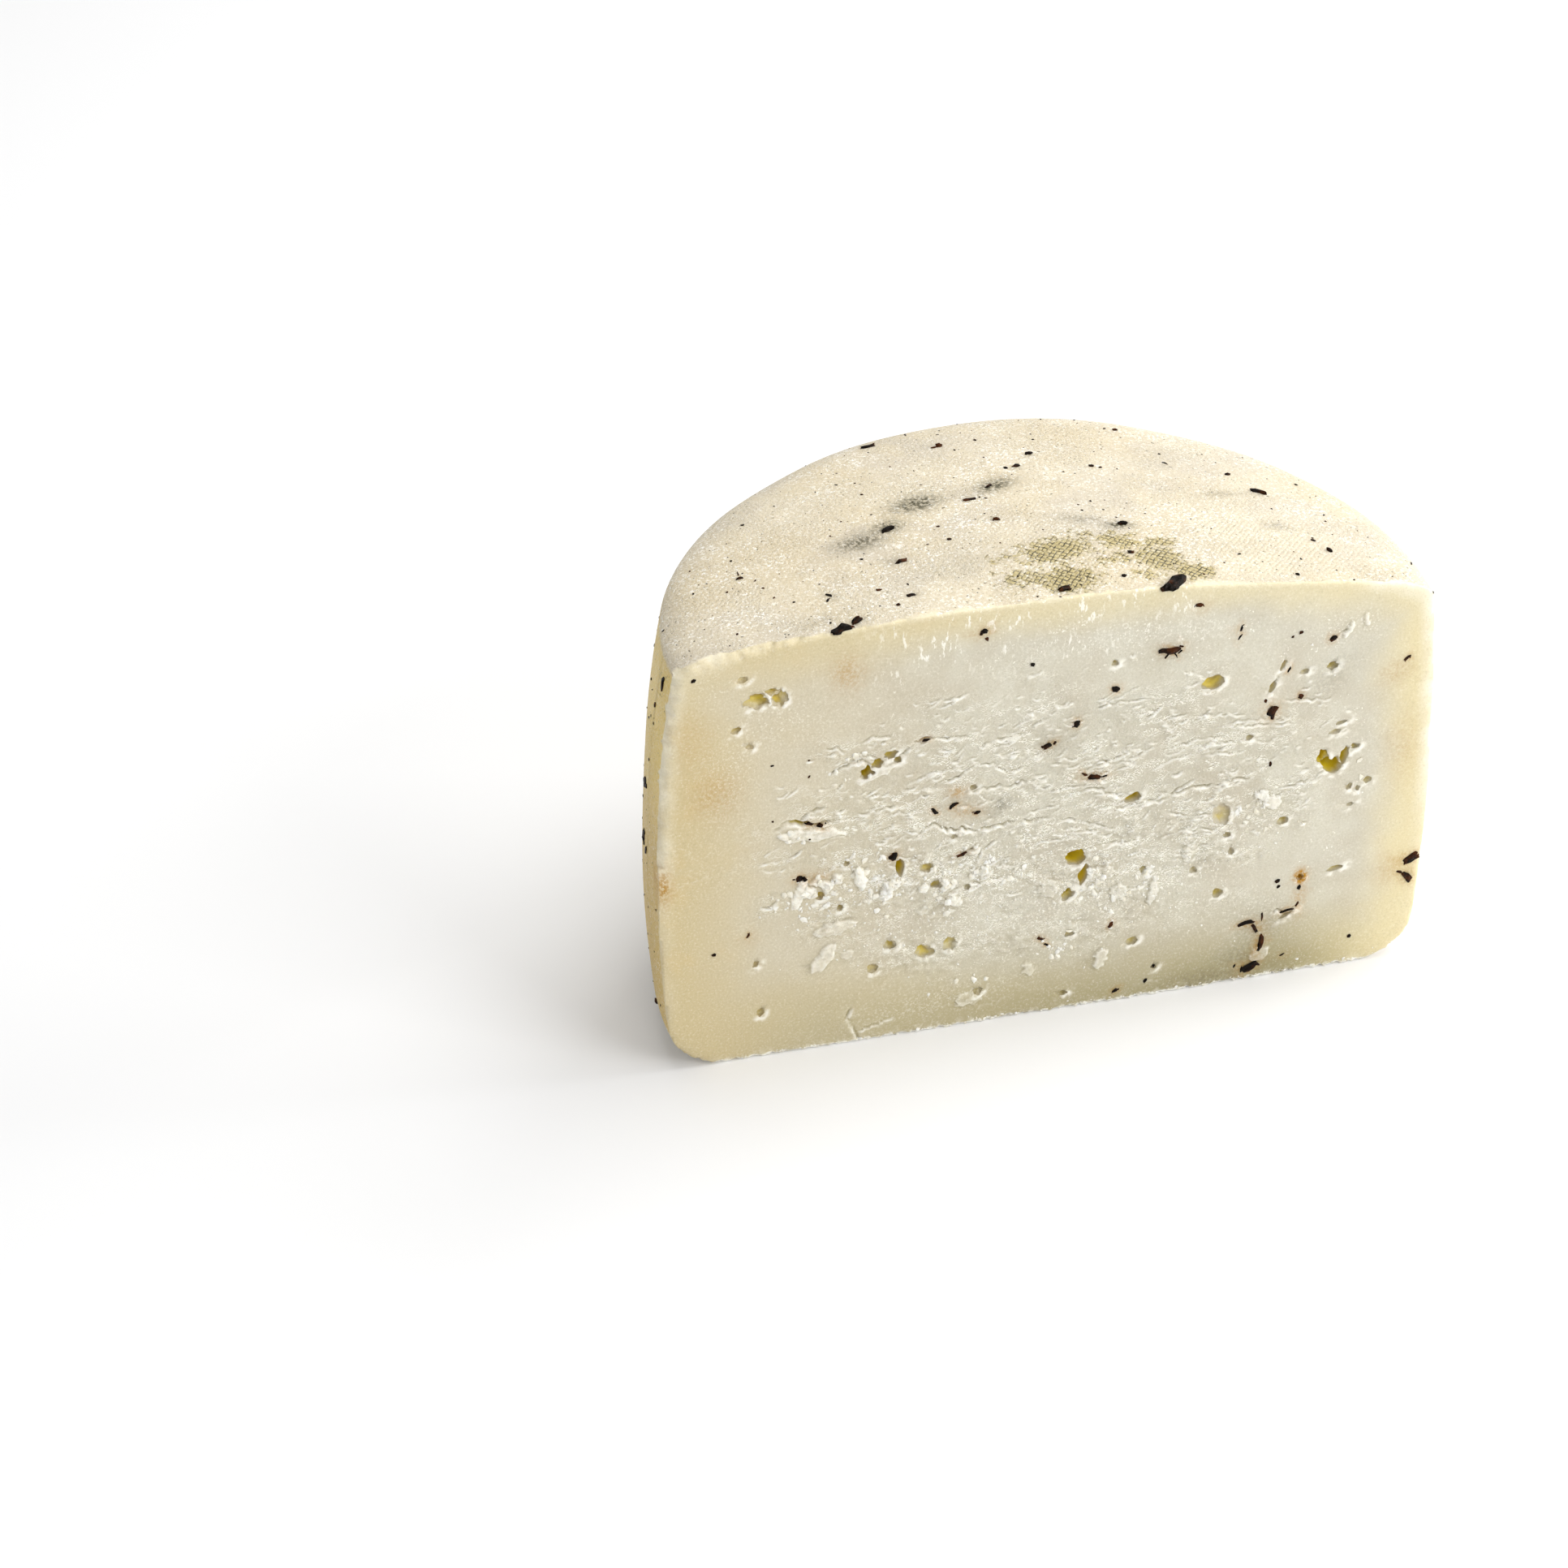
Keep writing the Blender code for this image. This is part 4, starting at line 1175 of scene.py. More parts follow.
def dress(sheet: NodeSheet, shader: bpy.types.Node, colour: Socket, roughness: Socket, height: Socket,
          strength: float, distance: float) -> None:
    """Feed a material's shader.

    Args:
        sheet, shader: the material's sheet and its shader.
        colour, roughness, height: what feeds the base colour, the roughness and the bump.
        strength, distance: the bump's strength and its depth in metres.
    """
    bump = sheet.add("ShaderNodeBump", {"Height": height, "Strength": strength, "Distance": distance})
    for name, value in (("Base Color", colour), ("Roughness", roughness), ("Normal", bump.outputs[0])):
        sheet.feed(shader.inputs[name], value)


def let_light_in(shader: bpy.types.Node, depth: float, spread: Colour, weight: float = 0.3) -> None:
    """Let light into a material, as curd does.

    Args:
        shader: the material's shader.
        depth: how far light goes, in metres.
        spread: the share of that for red, green and blue.
        weight: how much of the surface does so.
    """
    for name, value in (("Weight", weight), ("Radius", spread), ("Scale", depth)):
        shader.inputs["Subsurface " + name].default_value = value


# Finishes


@dataclass(frozen=True)
class CheeseFinish:
    """Rind and paste: ivory middle, warm band under the rind, cream rind with a net imprint."""

    grain: bpy.types.NodeTree
    net: bpy.types.NodeTree
    scales: bpy.types.NodeTree
    core: Colour = rgb(205, 199, 180)
    core_grey: Colour = rgb(200, 192, 172)
    core_white: Colour = rgb(216, 212, 195)
    core_left: Colour = rgb(208, 197, 170)
    band_left: Colour = rgb(206, 189, 145)
    # The band's right end is lighter: partly painted light from the right.
    band_right_lit: Colour = rgb(226, 212, 168)
    band_warm: Colour = rgb(211, 189, 138)
    # Painted light on the band's upper part, mostly on the right.
    band_top_lit: Colour = rgb(220, 209, 174)
    # Painted shade that darkens the paste towards the foot, deeper on the right.
    band_foot_shade: Colour = rgb(153, 143, 102)
    band_foot_left_shade: Colour = rgb(196, 184, 148)
    # The pale at the cut's edge is a painted highlight, brighter on the right.
    edge: Colour = rgb(232, 223, 196)
    edge_right_highlight: Colour = rgb(246, 241, 220)
    band_wide: float = 13.0
    # Besides the white of curd and flecks, lip is painted highlight on raised relief; besides darker random
    # mottling, groove is painted shade in grooves and above ledges.
    lip: Colour = rgb(254, 251, 240)
    groove: Colour = rgb(150, 138, 90)
    # Inside eyes and deep tears: painted yellow glow of light through the paste, and painted shade on walls
    # that face down.
    hollow: Colour = rgb(238, 214, 40)
    hollow_shade: Colour = rgb(148, 112, 0)
    rind: Colour = rgb(211, 199, 173)
    rind_warm: Colour = rgb(203, 187, 153)
    rind_grey: Colour = rgb(196, 186, 168)
    rind_side: Colour = rgb(222, 202, 150)
    rind_low: Colour = rgb(202, 178, 112)
    rind_left: Colour = rgb(236, 202, 84)
    rind_left_low: Colour = rgb(206, 168, 48)
    rind_white: Colour = rgb(255, 252, 242)
    mould: Colour = rgb(52, 44, 0)
    mould_haze: Colour = rgb(176, 156, 70)
    grey: Colour = rgb(82, 76, 50)
    rust: Colour = rgb(178, 128, 0)
    half_width: float = 66.0
    mottle_light: float = 0.24
    mottle_dark: float = 0.20
    rust_force: float = 1.35
    net_pitch: float = 0.8

    def build(self) -> bpy.types.Material:
        """Make the material.

        Returns:
            The material of rind, cut and eyes; numbers stored on the mesh tell them apart.
        """
        material, sheet, shader = new_material("goat_cheese")
        place = sheet.place_in_mm()
        grain = sheet.group(self.grain, Place=place, Size=1.0)
        scales = sheet.group(self.scales, Place=place)
        crumbly = sheet.times(sheet.attribute("crumbly"), 0.6)
        dry = sheet.plus(sheet.times(sheet.attribute("torn"), 0.9), crumbly, clamp=True)
        where = sheet.times(dry, sheet.spots(place, 0.13, 0.36, 0.52))
        lips, shadows = (sheet.times(scales.outputs[name], where) for name in ("Lips", "Shadows"))
        paste = self.paste_colour(sheet, place, grain.outputs["Flecks"], lips, shadows)
        rind, pillows = self.rind_colour(sheet, place)
        on_rind = sheet.between(sheet.attribute("rind"), 0.0, 1.0)
        colour = self.stained(sheet, place, sheet.mix(on_rind, paste, rind))
        roughness = sheet.scaled(sheet.noise(place, 0.9, 3.0), 0.3, 0.36)
        grainy = sheet.times(grain.outputs["Height"], sheet.plus(dry, 0.3))
        dragged = sheet.times(sheet.times(scales.outputs["Height"], dry), 1.6)
        rind_height = self.rind_height(sheet, place, pillows)
        height = sheet.blend(on_rind, sheet.plus(grainy, dragged), rind_height)
        dress(sheet, shader, colour, roughness, height, 0.7, 0.25 * MM)
        let_light_in(shader, 1.1 * MM, (1.0, 0.88, 0.66))
        return material

    def stained(self, sheet: NodeSheet, place: Socket, colour: Socket) -> Socket:
        """Lay fine mottling, stains and the torn foot line over the cheese's colour.

        Args:
            sheet, place: the material's sheet and the place in mm.
            colour: the colour below.

        Returns:
            The colour with all of them.
        """
        fine = sheet.noise(place, 2.6, 3.0, 0.75)
        bare = sheet.times(sheet.rest(sheet.attribute("hollow")), self.mottle_light)
        colour = sheet.tinted(colour, self.lip, sheet.between(fine, 0.52, 0.68), bare)
        colour = sheet.tinted(colour, self.groove, sheet.between(fine, 0.46, 0.32), self.mottle_dark)
        patchy = sheet.plus(sheet.spots(place, 1.6, 0.40, 0.58, 3.0, 0.7), 0.35)
        for name, tint, force in (("grey", self.grey, 1.0), ("rust", self.rust, self.rust_force)):
            spread = sheet.times(sheet.attribute(name), force)
            colour = sheet.tinted(colour, tint, spread, patchy, clamp=True)
        return sheet.tinted(colour, self.lip, self.fringe(sheet, place), 0.95)

    @staticmethod
    def rind_height(sheet: NodeSheet, place: Socket, pillows: Socket) -> Socket:
        """The relief of the rind: net imprint, clearer in places, and pits.

        Args:
            sheet, place: the material's sheet and the place in mm.
            pillows: the height of the net imprint.

        Returns:
            The height for the bump.
        """
        spots = sheet.times(sheet.spots(place, 0.06, 0.5, 0.7), 0.35)
        clear = sheet.plus(spots, sheet.attribute("woven"), clamp=True)
        woven = sheet.times(pillows, sheet.scaled(clear, 0.5, 0.08))
        pitted = sheet.scaled(sheet.spots(place, 0.09, 0.4, 0.62), 1.7, 0.8)
        return sheet.plus(woven, sheet.times(sheet.noise(place, 1.7, 3.0, 0.7), pitted))

    @staticmethod
    def patches(sheet: NodeSheet, place: Socket) -> Socket:
        """A slow change from 0.5 to 1 and back, that breaks up what would be even."""
        return sheet.scaled(sheet.spots(place, 0.11, 0.42, 0.58), 0.5, 0.5)

    @staticmethod
    def fringe(sheet: NodeSheet, place: Socket) -> Socket:
        """The torn white line where the paste ends at the foot: uneven in height and in places missing.

        Args:
            sheet, place: the material's sheet and the place in mm.

        Returns:
            The line as a mask.
        """
        _, forward, up = sheet.split(place)
        waves = sheet.times(sheet.noise(place, 0.9, 4.0, 0.75), 2.4)
        line = sheet.between(sheet.plus(up, waves), 1.95, 1.60)
        gaps = sheet.spots(place, 0.35, 0.34, 0.46, 3.0, 0.7)
        in_front = sheet.between(forward, -35.4, -35.9)
        return sheet.times(sheet.times(line, gaps), in_front)

    @staticmethod
    def drips(sheet: NodeSheet, place: Socket) -> Socket:
        """White flecks drawn downwards below the top rind, mostly in the middle.

        Args:
            sheet, place: the material's sheet and the place in mm.

        Returns:
            The flecks as a mask.
        """
        across, _, up = sheet.split(place)
        drawn = sheet.add("ShaderNodeMapping", {"Vector": place, "Scale": (1.0, 1.0, 0.32)}).outputs[0]
        flecks = sheet.spots(drawn, 1.1, 0.56, 0.62, 3.0, 0.7)
        clumps = sheet.spots(place, 0.14, 0.44, 0.56)
        middle = sheet.between(sheet.math("ABSOLUTE", sheet.plus(across, 2.0)), 34.0, 20.0)
        high = sheet.times(sheet.between(up, 66.0, 71.0), middle)
        return sheet.times(sheet.times(flecks, clumps), sheet.times(high, 0.8))

    def paste_colour(self, sheet: NodeSheet, place: Socket, flecks: Socket, lips: Socket,
                     shadows: Socket) -> Socket:
        """Colour of the cut: mottled middle, band under the rind, pale lips that are partly painted
        highlight, painted shade in grooves, and hollows painted olive for light glowing through the paste.

        Args:
            sheet, place: the material's sheet and the place in mm.
            flecks: the pale flecks of the grain.
            lips, shadows: the pale lips of the fine ledges, partly painted highlight, and the painted shadows
                above them.

        Returns:
            The colour.
        """
        across = sheet.split(place)[0]
        rightwards = sheet.between(across, -self.half_width, self.half_width)
        leftwards = sheet.between(across, -6.0, -48.0)
        colour = sheet.mix(sheet.spots(place, 0.055, 0.40, 0.66, 3.0, 0.55), self.core, self.core_grey)
        colour = sheet.tinted(colour, self.core_white, sheet.spots(place, 0.16, 0.42, 0.70), 0.5)
        clumps = sheet.spots(place, 0.12, 0.45, 0.62)
        dots = sheet.times(sheet.spots(place, 1.5, 0.66, 0.73, 2.0, 0.6), clumps)
        colour = sheet.tinted(colour, self.lip, dots, 0.85)
        colour = sheet.tinted(colour, self.lip, flecks, sheet.attribute("crumbly"))
        colour = sheet.tinted(colour, self.core_left, leftwards, 0.8)
        colour = self.banded(sheet, place, colour, rightwards, leftwards)
        colour = self.with_edge_highlight(sheet, place, colour, rightwards)
        strewn = sheet.spots(place, 2.4, 0.56, 0.64, 2.0, 0.65)
        strewn = sheet.times(strewn, sheet.attribute("sparkle"), clamp=True)
        colour = sheet.tinted(colour, self.lip, strewn, 0.9)
        # Painted highlight and shade from the relief: raised places lighter, hollows darker, and painted
        # shade in the tears' grooves and above the fine ledges.
        relief = sheet.attribute("lip")
        for tint, share, strength in (
            (self.lip, relief, 2.2),
            (self.groove, relief, -1.6),
            (self.groove, sheet.attribute("shade"), 0.8),
            (self.groove, shadows, 0.45),
        ):
            colour = sheet.tinted(colour, tint, share, strength, clamp=True)
        # Pale lips, curd and edge lines; on tear lips, eye lips, fine ledges and the top edge line the pale
        # is partly painted highlight.
        pale = sheet.times(lips, 0.9)
        for other in (sheet.attribute("pale"), sheet.attribute("rim"), self.drips(sheet, place)):
            pale = sheet.math("MAXIMUM", pale, other)
        colour = sheet.mix(pale, colour, self.lip)
        # Painted glow of light through the paste in eyes and deep tears, with painted shade on walls that
        # face down.
        inside = sheet.mix(sheet.between(sheet.facing_up(), 0.35, -0.55), self.hollow, self.hollow_shade)
        return sheet.mix(sheet.attribute("hollow"), colour, inside)

    def banded(self, sheet: NodeSheet, place: Socket, colour: Socket, rightwards: Socket,
               leftwards: Socket) -> Socket:
        """Lay the darker band under the rind over the paste, painted lighter near the top on the right, and
        painted shade that darkens the low foot.

        Args:
            sheet, place: the material's sheet and the place in mm.
            colour: the colour of the middle.
            rightwards, leftwards: from 0 to 1 towards each side.

        Returns:
            The colour with the band.
        """
        across, _, up = sheet.split(place)
        # Lighter towards the right, partly painted light from the right.
        plain = sheet.mix(rightwards, self.band_left, self.band_right_lit)
        band = sheet.tinted(plain, self.band_warm, sheet.spots(place, 0.13, 0.50, 0.70, 3.0, 0.6), 0.55)
        # Painted light: the band is lighter near the top, most towards the right where the light falls.
        far_right = sheet.times(sheet.between(across, 34.0, 58.0), 0.6)
        light = sheet.math("SUBTRACT", sheet.scaled(rightwards, 0.75, 0.25), far_right)
        band = sheet.tinted(band, self.band_top_lit, sheet.between(up, 58.0, 76.0), light)
        # Painted shade towards the foot: deeper on the right, less at the far sides.
        foot = sheet.mix(rightwards, self.band_foot_left_shade, self.band_foot_shade)
        foot = sheet.mix(sheet.between(sheet.math("ABSOLUTE", across), 38.0, 62.0), foot, plain)
        band = sheet.mix(sheet.between(up, 17.0, 1.0), band, foot)
        wander = sheet.times(sheet.math("SUBTRACT", sheet.noise(place, 0.07), 0.5), 9.0)
        near_top = sheet.scaled(sheet.between(up, 60.0, 74.0), 0.8, 1.0)
        depth = sheet.plus(sheet.times(sheet.attribute("skin_depth"), near_top), wander)
        reach = sheet.scaled(leftwards, 8.0, self.band_wide)
        colour = sheet.mix(sheet.between(sheet.math("DIVIDE", depth, reach), 0.08, 1.0), band, colour)
        # Painted shade laid over the whole paste near the foot.
        return sheet.tinted(colour, foot, sheet.between(up, 22.0, 2.0), 0.58)

    def with_edge_highlight(self, sheet: NodeSheet, place: Socket, colour: Socket, rightwards: Socket) -> Socket:
        """Lay a painted highlight along the cut's edge over the paste, wider and clearer at the upper sides.

        Args:
            sheet, place: the material's sheet and the place in mm.
            colour: the colour below.
            rightwards: from 0 to 1 towards the right.

        Returns:
            The colour with the painted highlight at the edge.
        """
        across, _, up = sheet.split(place)
        sides = sheet.between(sheet.math("ABSOLUTE", across), 46.0, 58.0)
        # worn is only the distance from the outline over the highlight's width; the highlight is painted
        # where it is below one.
        worn = sheet.math("DIVIDE", sheet.attribute("skin_depth"), sheet.scaled(sides, 2.2, 1.2))
        edge = sheet.times(sheet.between(worn, 1.0, 0.0), sheet.between(up, 4.0, 12.0))
        upper = sheet.times(sheet.between(up, 20.0, 44.0), 0.8)
        highlit = sheet.plus(sheet.times(sides, upper), 0.22)
        edge = sheet.times(edge, sheet.times(highlit, self.patches(sheet, place)))
        return sheet.mix(edge, colour, sheet.mix(rightwards, self.edge, self.edge_right_highlight))

    def rind_colour(self, sheet: NodeSheet, place: Socket) -> tuple[Socket, Socket]:
        """Colour of the rind, and its net imprint.

        Args:
            sheet, place: the material's sheet and the place in mm.

        Returns:
            The colour and the height of the net imprint.
        """
        level = sheet.math("ABSOLUTE", sheet.facing_up())
        flat = sheet.between(level, 0.55, 0.8)
        around = sheet.joined(X=sheet.attribute("around"), Y=sheet.attribute("along"))
        top_net, side_net = (
            sheet.group(self.net, Place=where, Pitch=self.net_pitch, Turn=turn)
            for where, turn in ((place, 0.7), (around, 0.1))
        )
        pillows, threads = (
            sheet.blend(flat, side_net.outputs[name], top_net.outputs[name]) for name in ("Height", "Lines")
        )
        colour = sheet.tinted(self.rind, self.rind_warm, sheet.spots(place, 0.04, 0.40, 0.68), 0.55)
        colour = sheet.tinted(colour, self.rind_grey, sheet.spots(place, 0.07, 0.46, 0.70), 0.6)
        upright = sheet.rest(sheet.between(level, 0.15, 0.75))
        across, _, up = sheet.split(place)
        side = sheet.mix(sheet.between(up, 62.0, 22.0), self.rind_side, self.rind_low)
        left = sheet.mix(sheet.between(up, 62.0, 40.0), self.rind_left, self.rind_left_low)
        side = sheet.tinted(side, left, sheet.between(across, -56.0, -62.0), 0.75)
        colour = sheet.tinted(colour, side, upright, 0.9)
        veil = sheet.spots(place, 0.10, 0.42, 0.66, 4.0, 0.65)
        dust = sheet.times(sheet.spots(place, 1.5, 0.50, 0.66, 3.0, 0.7), sheet.scaled(veil, 0.5, 0.12))
        colour = sheet.tinted(colour, self.rind_white, dust, sheet.rest(sheet.times(upright, 0.6)))
        # Painted glints: white specks of caught light on the rind, fewer on the side.
        bright = sheet.plus(sheet.plus(sheet.times(veil, 0.55), sheet.attribute("sparkle")), 0.4)
        glints = sheet.times(sheet.spots(place, 1.8, 0.58, 0.62, 3.0, 0.7), bright, clamp=True)
        colour = sheet.tinted(colour, self.rind_white, glints, sheet.rest(sheet.times(upright, 0.5)))
        colour = sheet.tinted(colour, self.mould, sheet.spots(place, 1.7, 0.29, 0.24, 1.0), 0.8)
        ragged = sheet.times(sheet.math("SUBTRACT", sheet.noise(place, 0.7, 4.0, 0.7), 0.5), 2.3)
        thick = sheet.between(sheet.plus(sheet.attribute("mould"), ragged), 0.34, 0.80)
        frayed = sheet.scaled(sheet.spots(place, 1.1, 0.36, 0.56, 2.0, 0.6), 0.8, 0.2)
        colour = sheet.tinted(colour, self.mould_haze, thick, 0.62)
        return sheet.tinted(colour, self.mould, thick, sheet.times(threads, frayed)), pillows


@dataclass(frozen=True)
class CurdFinish:
    """White, dry curd of crumbs and flakes."""

    grain: bpy.types.NodeTree
    pale: Colour = rgb(250, 247, 236)
    cream: Colour = rgb(236, 228, 206)

    def build(self) -> bpy.types.Material:
        """Make the material.

        Returns:
            The material of crumbs and granules.
        """
        material, sheet, shader = new_material("dry_curd")
        place = sheet.place_in_mm()
        height = sheet.group(self.grain, Place=place, Size=1.6).outputs["Height"]
        colour = sheet.mix(sheet.spots(place, 0.4, 0.35, 0.7), self.pale, self.cream)
        dress(sheet, shader, colour, sheet.scaled(height, 0.3, 0.4), height, 0.5, 0.1 * MM)
        let_light_in(shader, 1.0 * MM, (1.0, 0.85, 0.6))
        return material


@dataclass(frozen=True)
class TruffleFinish:
    """Black truffle: nearly black, brown where it is thin, with a dull gloss."""

    black: Colour = rgb(18, 12, 7)
    brown: Colour = rgb(78, 40, 12)
    vein: Colour = rgb(62, 50, 34)
    gloss: float = 0.08

    def build(self) -> bpy.types.Material:
        """Make the material.

        Returns:
            The material of all shavings and specks.
        """
        material, sheet, shader = new_material("black_truffle")
        place = sheet.place_in_mm()
        colour = sheet.tinted(self.black, self.brown, sheet.spots(place, 0.5, 0.46, 0.66, 3.0, 0.6), 0.8)
        colour = sheet.tinted(colour, self.vein, sheet.spots(place, 3.0, 0.62, 0.74, 3.0, 0.7), 0.4)
        rough = sheet.noise(place, 3.5, 3.0, 0.6)
        dress(sheet, shader, colour, sheet.scaled(rough, 0.5, 0.22), rough, 0.7, 0.2 * MM)
        shader.inputs["Specular IOR Level"].default_value = self.gloss
        return material


# Marks: soft stains of mould, grey and rust that the mesh carries as numbers


class Tint(Enum):
    """Which stain or fleck a mark leaves; on the rind, SPARKLE marks gather painted glints."""

    CURD = "curd_spots"
    SPARKLE = "sparkle"
    WOVEN = "woven"
    GREY = "grey"
    MOULD = "mould"
    RUST = "rust"


@dataclass(frozen=True)
class Mark:
    """A soft oval stain: centre, length, width and turn in mm and degrees, and its strength."""

    across: float
    up: float
    long: float
    wide: float
    turn: float
    strength: float


def marks(rows: Iterable[tuple[float, ...]]) -> tuple[Mark, ...]:
    """Marks from rows of their numbers."""
    return tuple(Mark(*row) for row in rows)


TOP_MARKS = {
    Tint.GREY: marks((
        (-21.5, 21.7, 7, 4.4, 20, 0.75), (-14.5, 28.6, 9.5, 5.6, 20, 1), (-27, 18, 10, 5.4, 15, 0.75),
        (-0.2, 31.2, 8, 4.4, 25, 0.9), (15, 12.8, 5, 2.8, -10, 0.95), (9.6, 15.6, 8, 3, -20, 0.4),
        (-23.2, 9.8, 5, 2.6, 10, 0.35), (36, 22.4, 7, 2.4, 0, 0.35), (42, 10.4, 6, 2.6, -20, 0.35),
        (-14, 6, 16, 9, 15, 0.16), (-40, -4, 9, 4, 20, 0.25),
    )),
    Tint.MOULD: marks((
        (2, 6.2, 15, 8.6, 10, 1.15), (1.3, -2.8, 12, 9, 10, 1.15), (-5.9, -1, 12, 9, 0, 0.75),
        (-6.6, 5.6, 10, 6, 0, 0.55), (12.9, 7.6, 9, 7, 0, 1.0), (10.6, 1.6, 10, 7, 0, 0.7),
        (18.0, 1.0, 8.6, 9.4, -20, 1.2), (22.4, -3.6, 7.4, 6, 0, 1.15), (14.0, -3.6, 7.4, 5, 0, 0.8),
        (19.1, 6.3, 10, 5, 0, 0.85), (8, 10.6, 9, 5, 0, 0.65),
    )),
    # Where painted glints gather on the top.
    Tint.SPARKLE: marks((
        (-22, 8.6, 11, 6, 10, 1), (-12, 20, 22, 14, 20, 0.6), (-33, -3, 12, 7, 0, 0.7),
        (-10, 34, 26, 10, 10, 0.45), (2, 2, 24, 12, 0, 0.6), (22, 8, 18, 16, -30, 0.7),
        (-46, -2, 12, 6, 0, 0.5),
    )),
    Tint.WOVEN: marks((
        (3, 3, 20, 22, 0, 1), (15, 3, 18, 20, 0, 1), (38, 4, 34, 26, -20, 0.9),
        (-58, 10, 16, 30, 30, 0.4),
    )),
}

CUT_MARKS = {
    Tint.GREY: marks((
        # The marks at (35.4, 10), (32, 5) and (27, 1.5), low on the right, are stains and also painted shade
        # along the foot below the truffle.
        (-2.9, 52.5, 4.2, 3, 0, 0.3), (-10.4, 42.6, 4, 2.6, 10, 0.4), (35.4, 10, 9, 8, 30, 0.22),
        (32, 5, 9, 6, 0, 0.25), (27, 1.5, 16, 4, 0, 0.3), (45, 58, 12, 7, 50, 0.16),
        (17.2, 67.2, 5, 3.2, 0, 0.25),
    )),
    Tint.RUST: marks((
        (5.1, 45.5, 6, 2, -6, 0.35), (42.4, 19.2, 2.2, 2.8, 0, 1.1), (42.4, 15, 2.2, 8, 0, 0.3),
        (-18, 46.4, 3.4, 2.4, 0, 0.35), (-16.4, 42.6, 7, 3, -10, 0.25), (-61.6, 63, 6, 11, 0, 0.14),
        (-58, 52.5, 8, 9, 0, 0.24), (-66.5, 36.6, 2.6, 7, 0, 0.55), (-36.4, 71.6, 5, 7, 0, 0.3),
        (56, 57, 5, 4, 30, 0.2), (59, 42, 6, 14, 0, 0.14), (58, 18, 6, 6, 0, 0.16),
        (35.2, 53, 4.6, 4.6, 0, 0.22), (-41.5, 34, 6, 2.6, 10, 0.25),
    )),
    Tint.CURD: marks((
        (-41, 30, 9, 6, 20, 1), (-36, 33.6, 6, 4, 0, 0.8), (-30, 29.6, 5, 6, 0, 1),
        (-20, 29.6, 5, 6, 0, 0.9), (-12, 30.6, 6, 4, 0, 0.8), (-33, 36.6, 9, 3, 8, 0.8),
        (-8, 28.4, 4, 2.4, 0, 0.7), (5.6, 25, 6, 4.6, 0, 0.9), (15, 24.6, 6, 5, 20, 0.7),
        (8.6, 20.6, 7, 4, 20, 0.6), (33, 34, 7, 6, 0, 0.7), (36, 30, 4, 3, 0, 0.8),
        (49.6, 39, 5, 7, 0, 0.12), (-16, 8.6, 8, 3.4, 10, 0.12), (0.6, 13.6, 6, 3, 30, 0.6),
        (35, 5, 7, 4, 0, 0.08), (-34, 55, 8, 4, 20, 0.5), (-46, 41.6, 6, 3, 0, 0.5),
        (44, 62, 6, 6, 40, 0.12),
    )),
    Tint.SPARKLE: marks((
        (-3.1, 75.0, 1.2, 4.4, 0, 1), (-1.2, 74.2, 1.0, 3.6, 6, 0.9), (1.8, 74.6, 1.6, 5.0, 0, 1),
        (4.4, 75.0, 1.2, 4.0, 0, 0.8), (-5.5, 72.0, 5, 3, 0, 0.6), (10, 71.5, 22, 6, 4, 0.7),
        (22, 70.5, 12, 4, -6, 0.6), (46, 66, 7, 5, 40, 1), (51, 67.5, 4, 5, 10, 0.8),
        (-46, 64, 18, 10, 0, 0.45), (-55, 56, 10, 14, 0, 0.5), (-12, 27, 40, 8, 0, 0.5),
        (5, 21, 30, 9, 10, 0.6), (-58, 72, 8, 6, 20, 0.5),
        (-20, 6, 40, 6, 8, 0.35), (34, 14, 16, 10, 0, 0.35),
    )),
}


def side_marks(seed: int) -> dict[Tint, tuple[Mark, ...]]:
    """Stains strewn over the side: places are mm along it from the cut's right end, and up it.

    Args:
        seed: the same seed gives the same stains.

    Returns:
        The stains of each kind.
    """
    rng = random.Random(seed)
    kinds = {
        Tint.GREY: (12, (3.0, 9.0), (0.25, 0.6)),
        Tint.MOULD: (9, (5.0, 13.0), (0.35, 0.8)),
        Tint.SPARKLE: (16, (8.0, 24.0), (0.4, 0.9)),
        Tint.WOVEN: (16, (18.0, 40.0), (0.5, 1.0)),
    }
    return {
        tint: tuple(
            Mark(rng.uniform(8, 190), rng.uniform(6, 66), rng.uniform(*sizes), 0.6 * rng.uniform(*sizes),
                 rng.uniform(0, 180), rng.uniform(*strengths))
            for _ in range(count)
        )
        for tint, (count, sizes, strengths) in kinds.items()
    }


def mark_strength(stains: Iterable[Mark], across: Grid, up: Grid) -> Grid:
    """How strongly soft marks stain each place.

    Args:
        stains: the marks.
        across, up: the places in mm.

    Returns:
        The strength of the strongest mark at each place.
    """
    total = np.zeros(across.shape)
    for mark in stains:
        along, over = turned(across - mark.across, up - mark.up, mark.turn)
        oval = (along / (mark.long / 2)) ** 2 + (over / (mark.wide / 2)) ** 2
        total = np.maximum(total, mark.strength * np.exp(-1.1 * oval))
    return total


# The cheese itself


